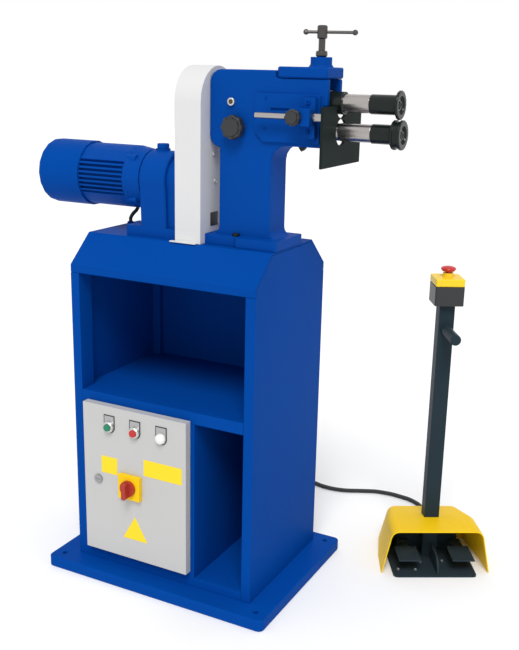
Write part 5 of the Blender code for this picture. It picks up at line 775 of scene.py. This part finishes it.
def shape_screw(radius, height, sides, sunk):
    """Shapes a screw, bolt head or cap that faces up, chamfered at its rim."""
    item = fresh_cylinder(sides, radius, height + SINK)
    if sunk:
        sink_socket(item, radius * SOCKET_SHARE, height * SOCKET_DEPTH_SHARE)
    bevelled(item, radius * CHAMFER_SHARE, angle=CHAMFER_ANGLE)
    return item


def make_screw(name, place, way, kind, body="machine", sunk=True, look=None):
    """A screw, bolt head or cap that stands out from a place, with a sunk socket if asked."""
    radius, height, sides, slot = kind
    way = Vector(way)
    turn = Vector(UP).rotation_difference(way).to_euler()
    set_copy(model_of(shape_screw, radius, height, sides, sunk), name,
             Vector(place) + way * (height - SINK) / 2, turn, body, slot, look)


def seat(node, start, way):
    """Where a line from a point meets a finished piece."""
    item = bpy.data.objects[node + "_finished"]
    hit, place, _, _ = item.ray_cast(Vector(start), Vector(way))
    return place if hit else Vector(start)


def make_fixings():
    for screw in SCREWS:
        make_screw(*screw)
    for shaft, start in ROLL_SCREWS:
        body = BODY_OF[shaft]
        make_screw(f"{body}_screw", seat(shaft, start, TO_LEFT), TO_RIGHT, ROLL_SCREW, body)
    way = Vector(JAW_BOLT_WAY)
    place = seat("head_casting", JAW_BOLT_START, UP) - way * JAW_BOLT_SUNK
    make_screw("jaw_bolt", place, way, JAW_BOLT)
    make_plate("guard_plate", *GUARD_PLATE, "machine", "black_plastic")


def front_of(node):
    """The middle of a node's front, and the node's width."""
    low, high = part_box(node)
    return ((low[0] + high[0]) / 2, low[1], (low[2] + high[2]) / 2), high[0] - low[0]


def make_knob_faces():
    """The round cap in the middle of each star knob, and the low round lobes about it."""
    for knob in STAR_KNOBS:
        body = BODY_OF[knob]
        (x, y, z), width = front_of(knob)
        cap = (width * KNOB_CAP_SHARE, KNOB_CAP_HEIGHT, CAP_SIDES, "black_plastic")
        make_screw(f"{knob}_cap", (x, y, z), TO_FRONT, cap, body, sunk=False)
        reach = width / 2
        lobe = (reach * LOBE_SHARE, LOBE_HEIGHT, LOBE_SIDES, "black_plastic")
        for number in range(KNOB_LOBES):
            angle = math.tau * number / KNOB_LOBES
            place = (x + reach * LOBE_REACH * math.cos(angle), y,
                     z + reach * LOBE_REACH * math.sin(angle))
            make_screw(f"{knob}_lobe_{number + 1}", place, TO_FRONT, lobe, body, sunk=False)


def make_sight_eye():
    """The dark eye in the middle of the oil sight."""
    place, width = front_of("oil_sight")
    eye = (width * EYE_SHARE, PLATE_THICK, EYE_SIDES, SLOT_OF["oil_sight"])
    make_screw("oil_sight_eye", place, TO_FRONT, eye, sunk=False, look="oiled_brass")


def make_motor_end():
    """The rounded shoulder of the motor's right end with four bolted bosses."""
    y, z = MOTOR_AXIS
    left, right = SHOULDER
    ring = fresh_cylinder(SHOULDER_SIDES, SHOULDER_RADIUS, right - left,
                          ((left + right) / 2, y, z), (0, QUARTER_TURN, 0))
    bevelled(ring, SHOULDER_ROUND, SHOULDER_SEGMENTS, CHAMFER_ANGLE)
    finish_piece(ring, "motor_shoulder", "machine", "aluminium_blue")
    left, right = BOSS_SPAN
    for number, degrees in enumerate(BOSS_ANGLES, 1):
        angle = math.radians(degrees)
        across = (y + BOSS_REACH * math.cos(angle), z + BOSS_REACH * math.sin(angle))
        make_screw(f"motor_boss_{number}", (left, *across), TO_RIGHT, MOTOR_BOSS, sunk=False)
        make_screw(f"motor_bolt_{number}", (right, *across), TO_RIGHT, MOTOR_BOLT, sunk=False)


make_camera()
make_world()
make_floor()
make_conduit()
for node_name in sorted(frame["nodes"]):
    if node_name != "pedal_cable":
        refine(node_name)
make_legends()
make_labels()
make_fixings()
make_knob_faces()
make_sight_eye()
make_motor_end()
for spare in MODELS.values():
    bpy.data.meshes.remove(spare)

bpy.context.scene.view_settings.view_transform = "Standard"
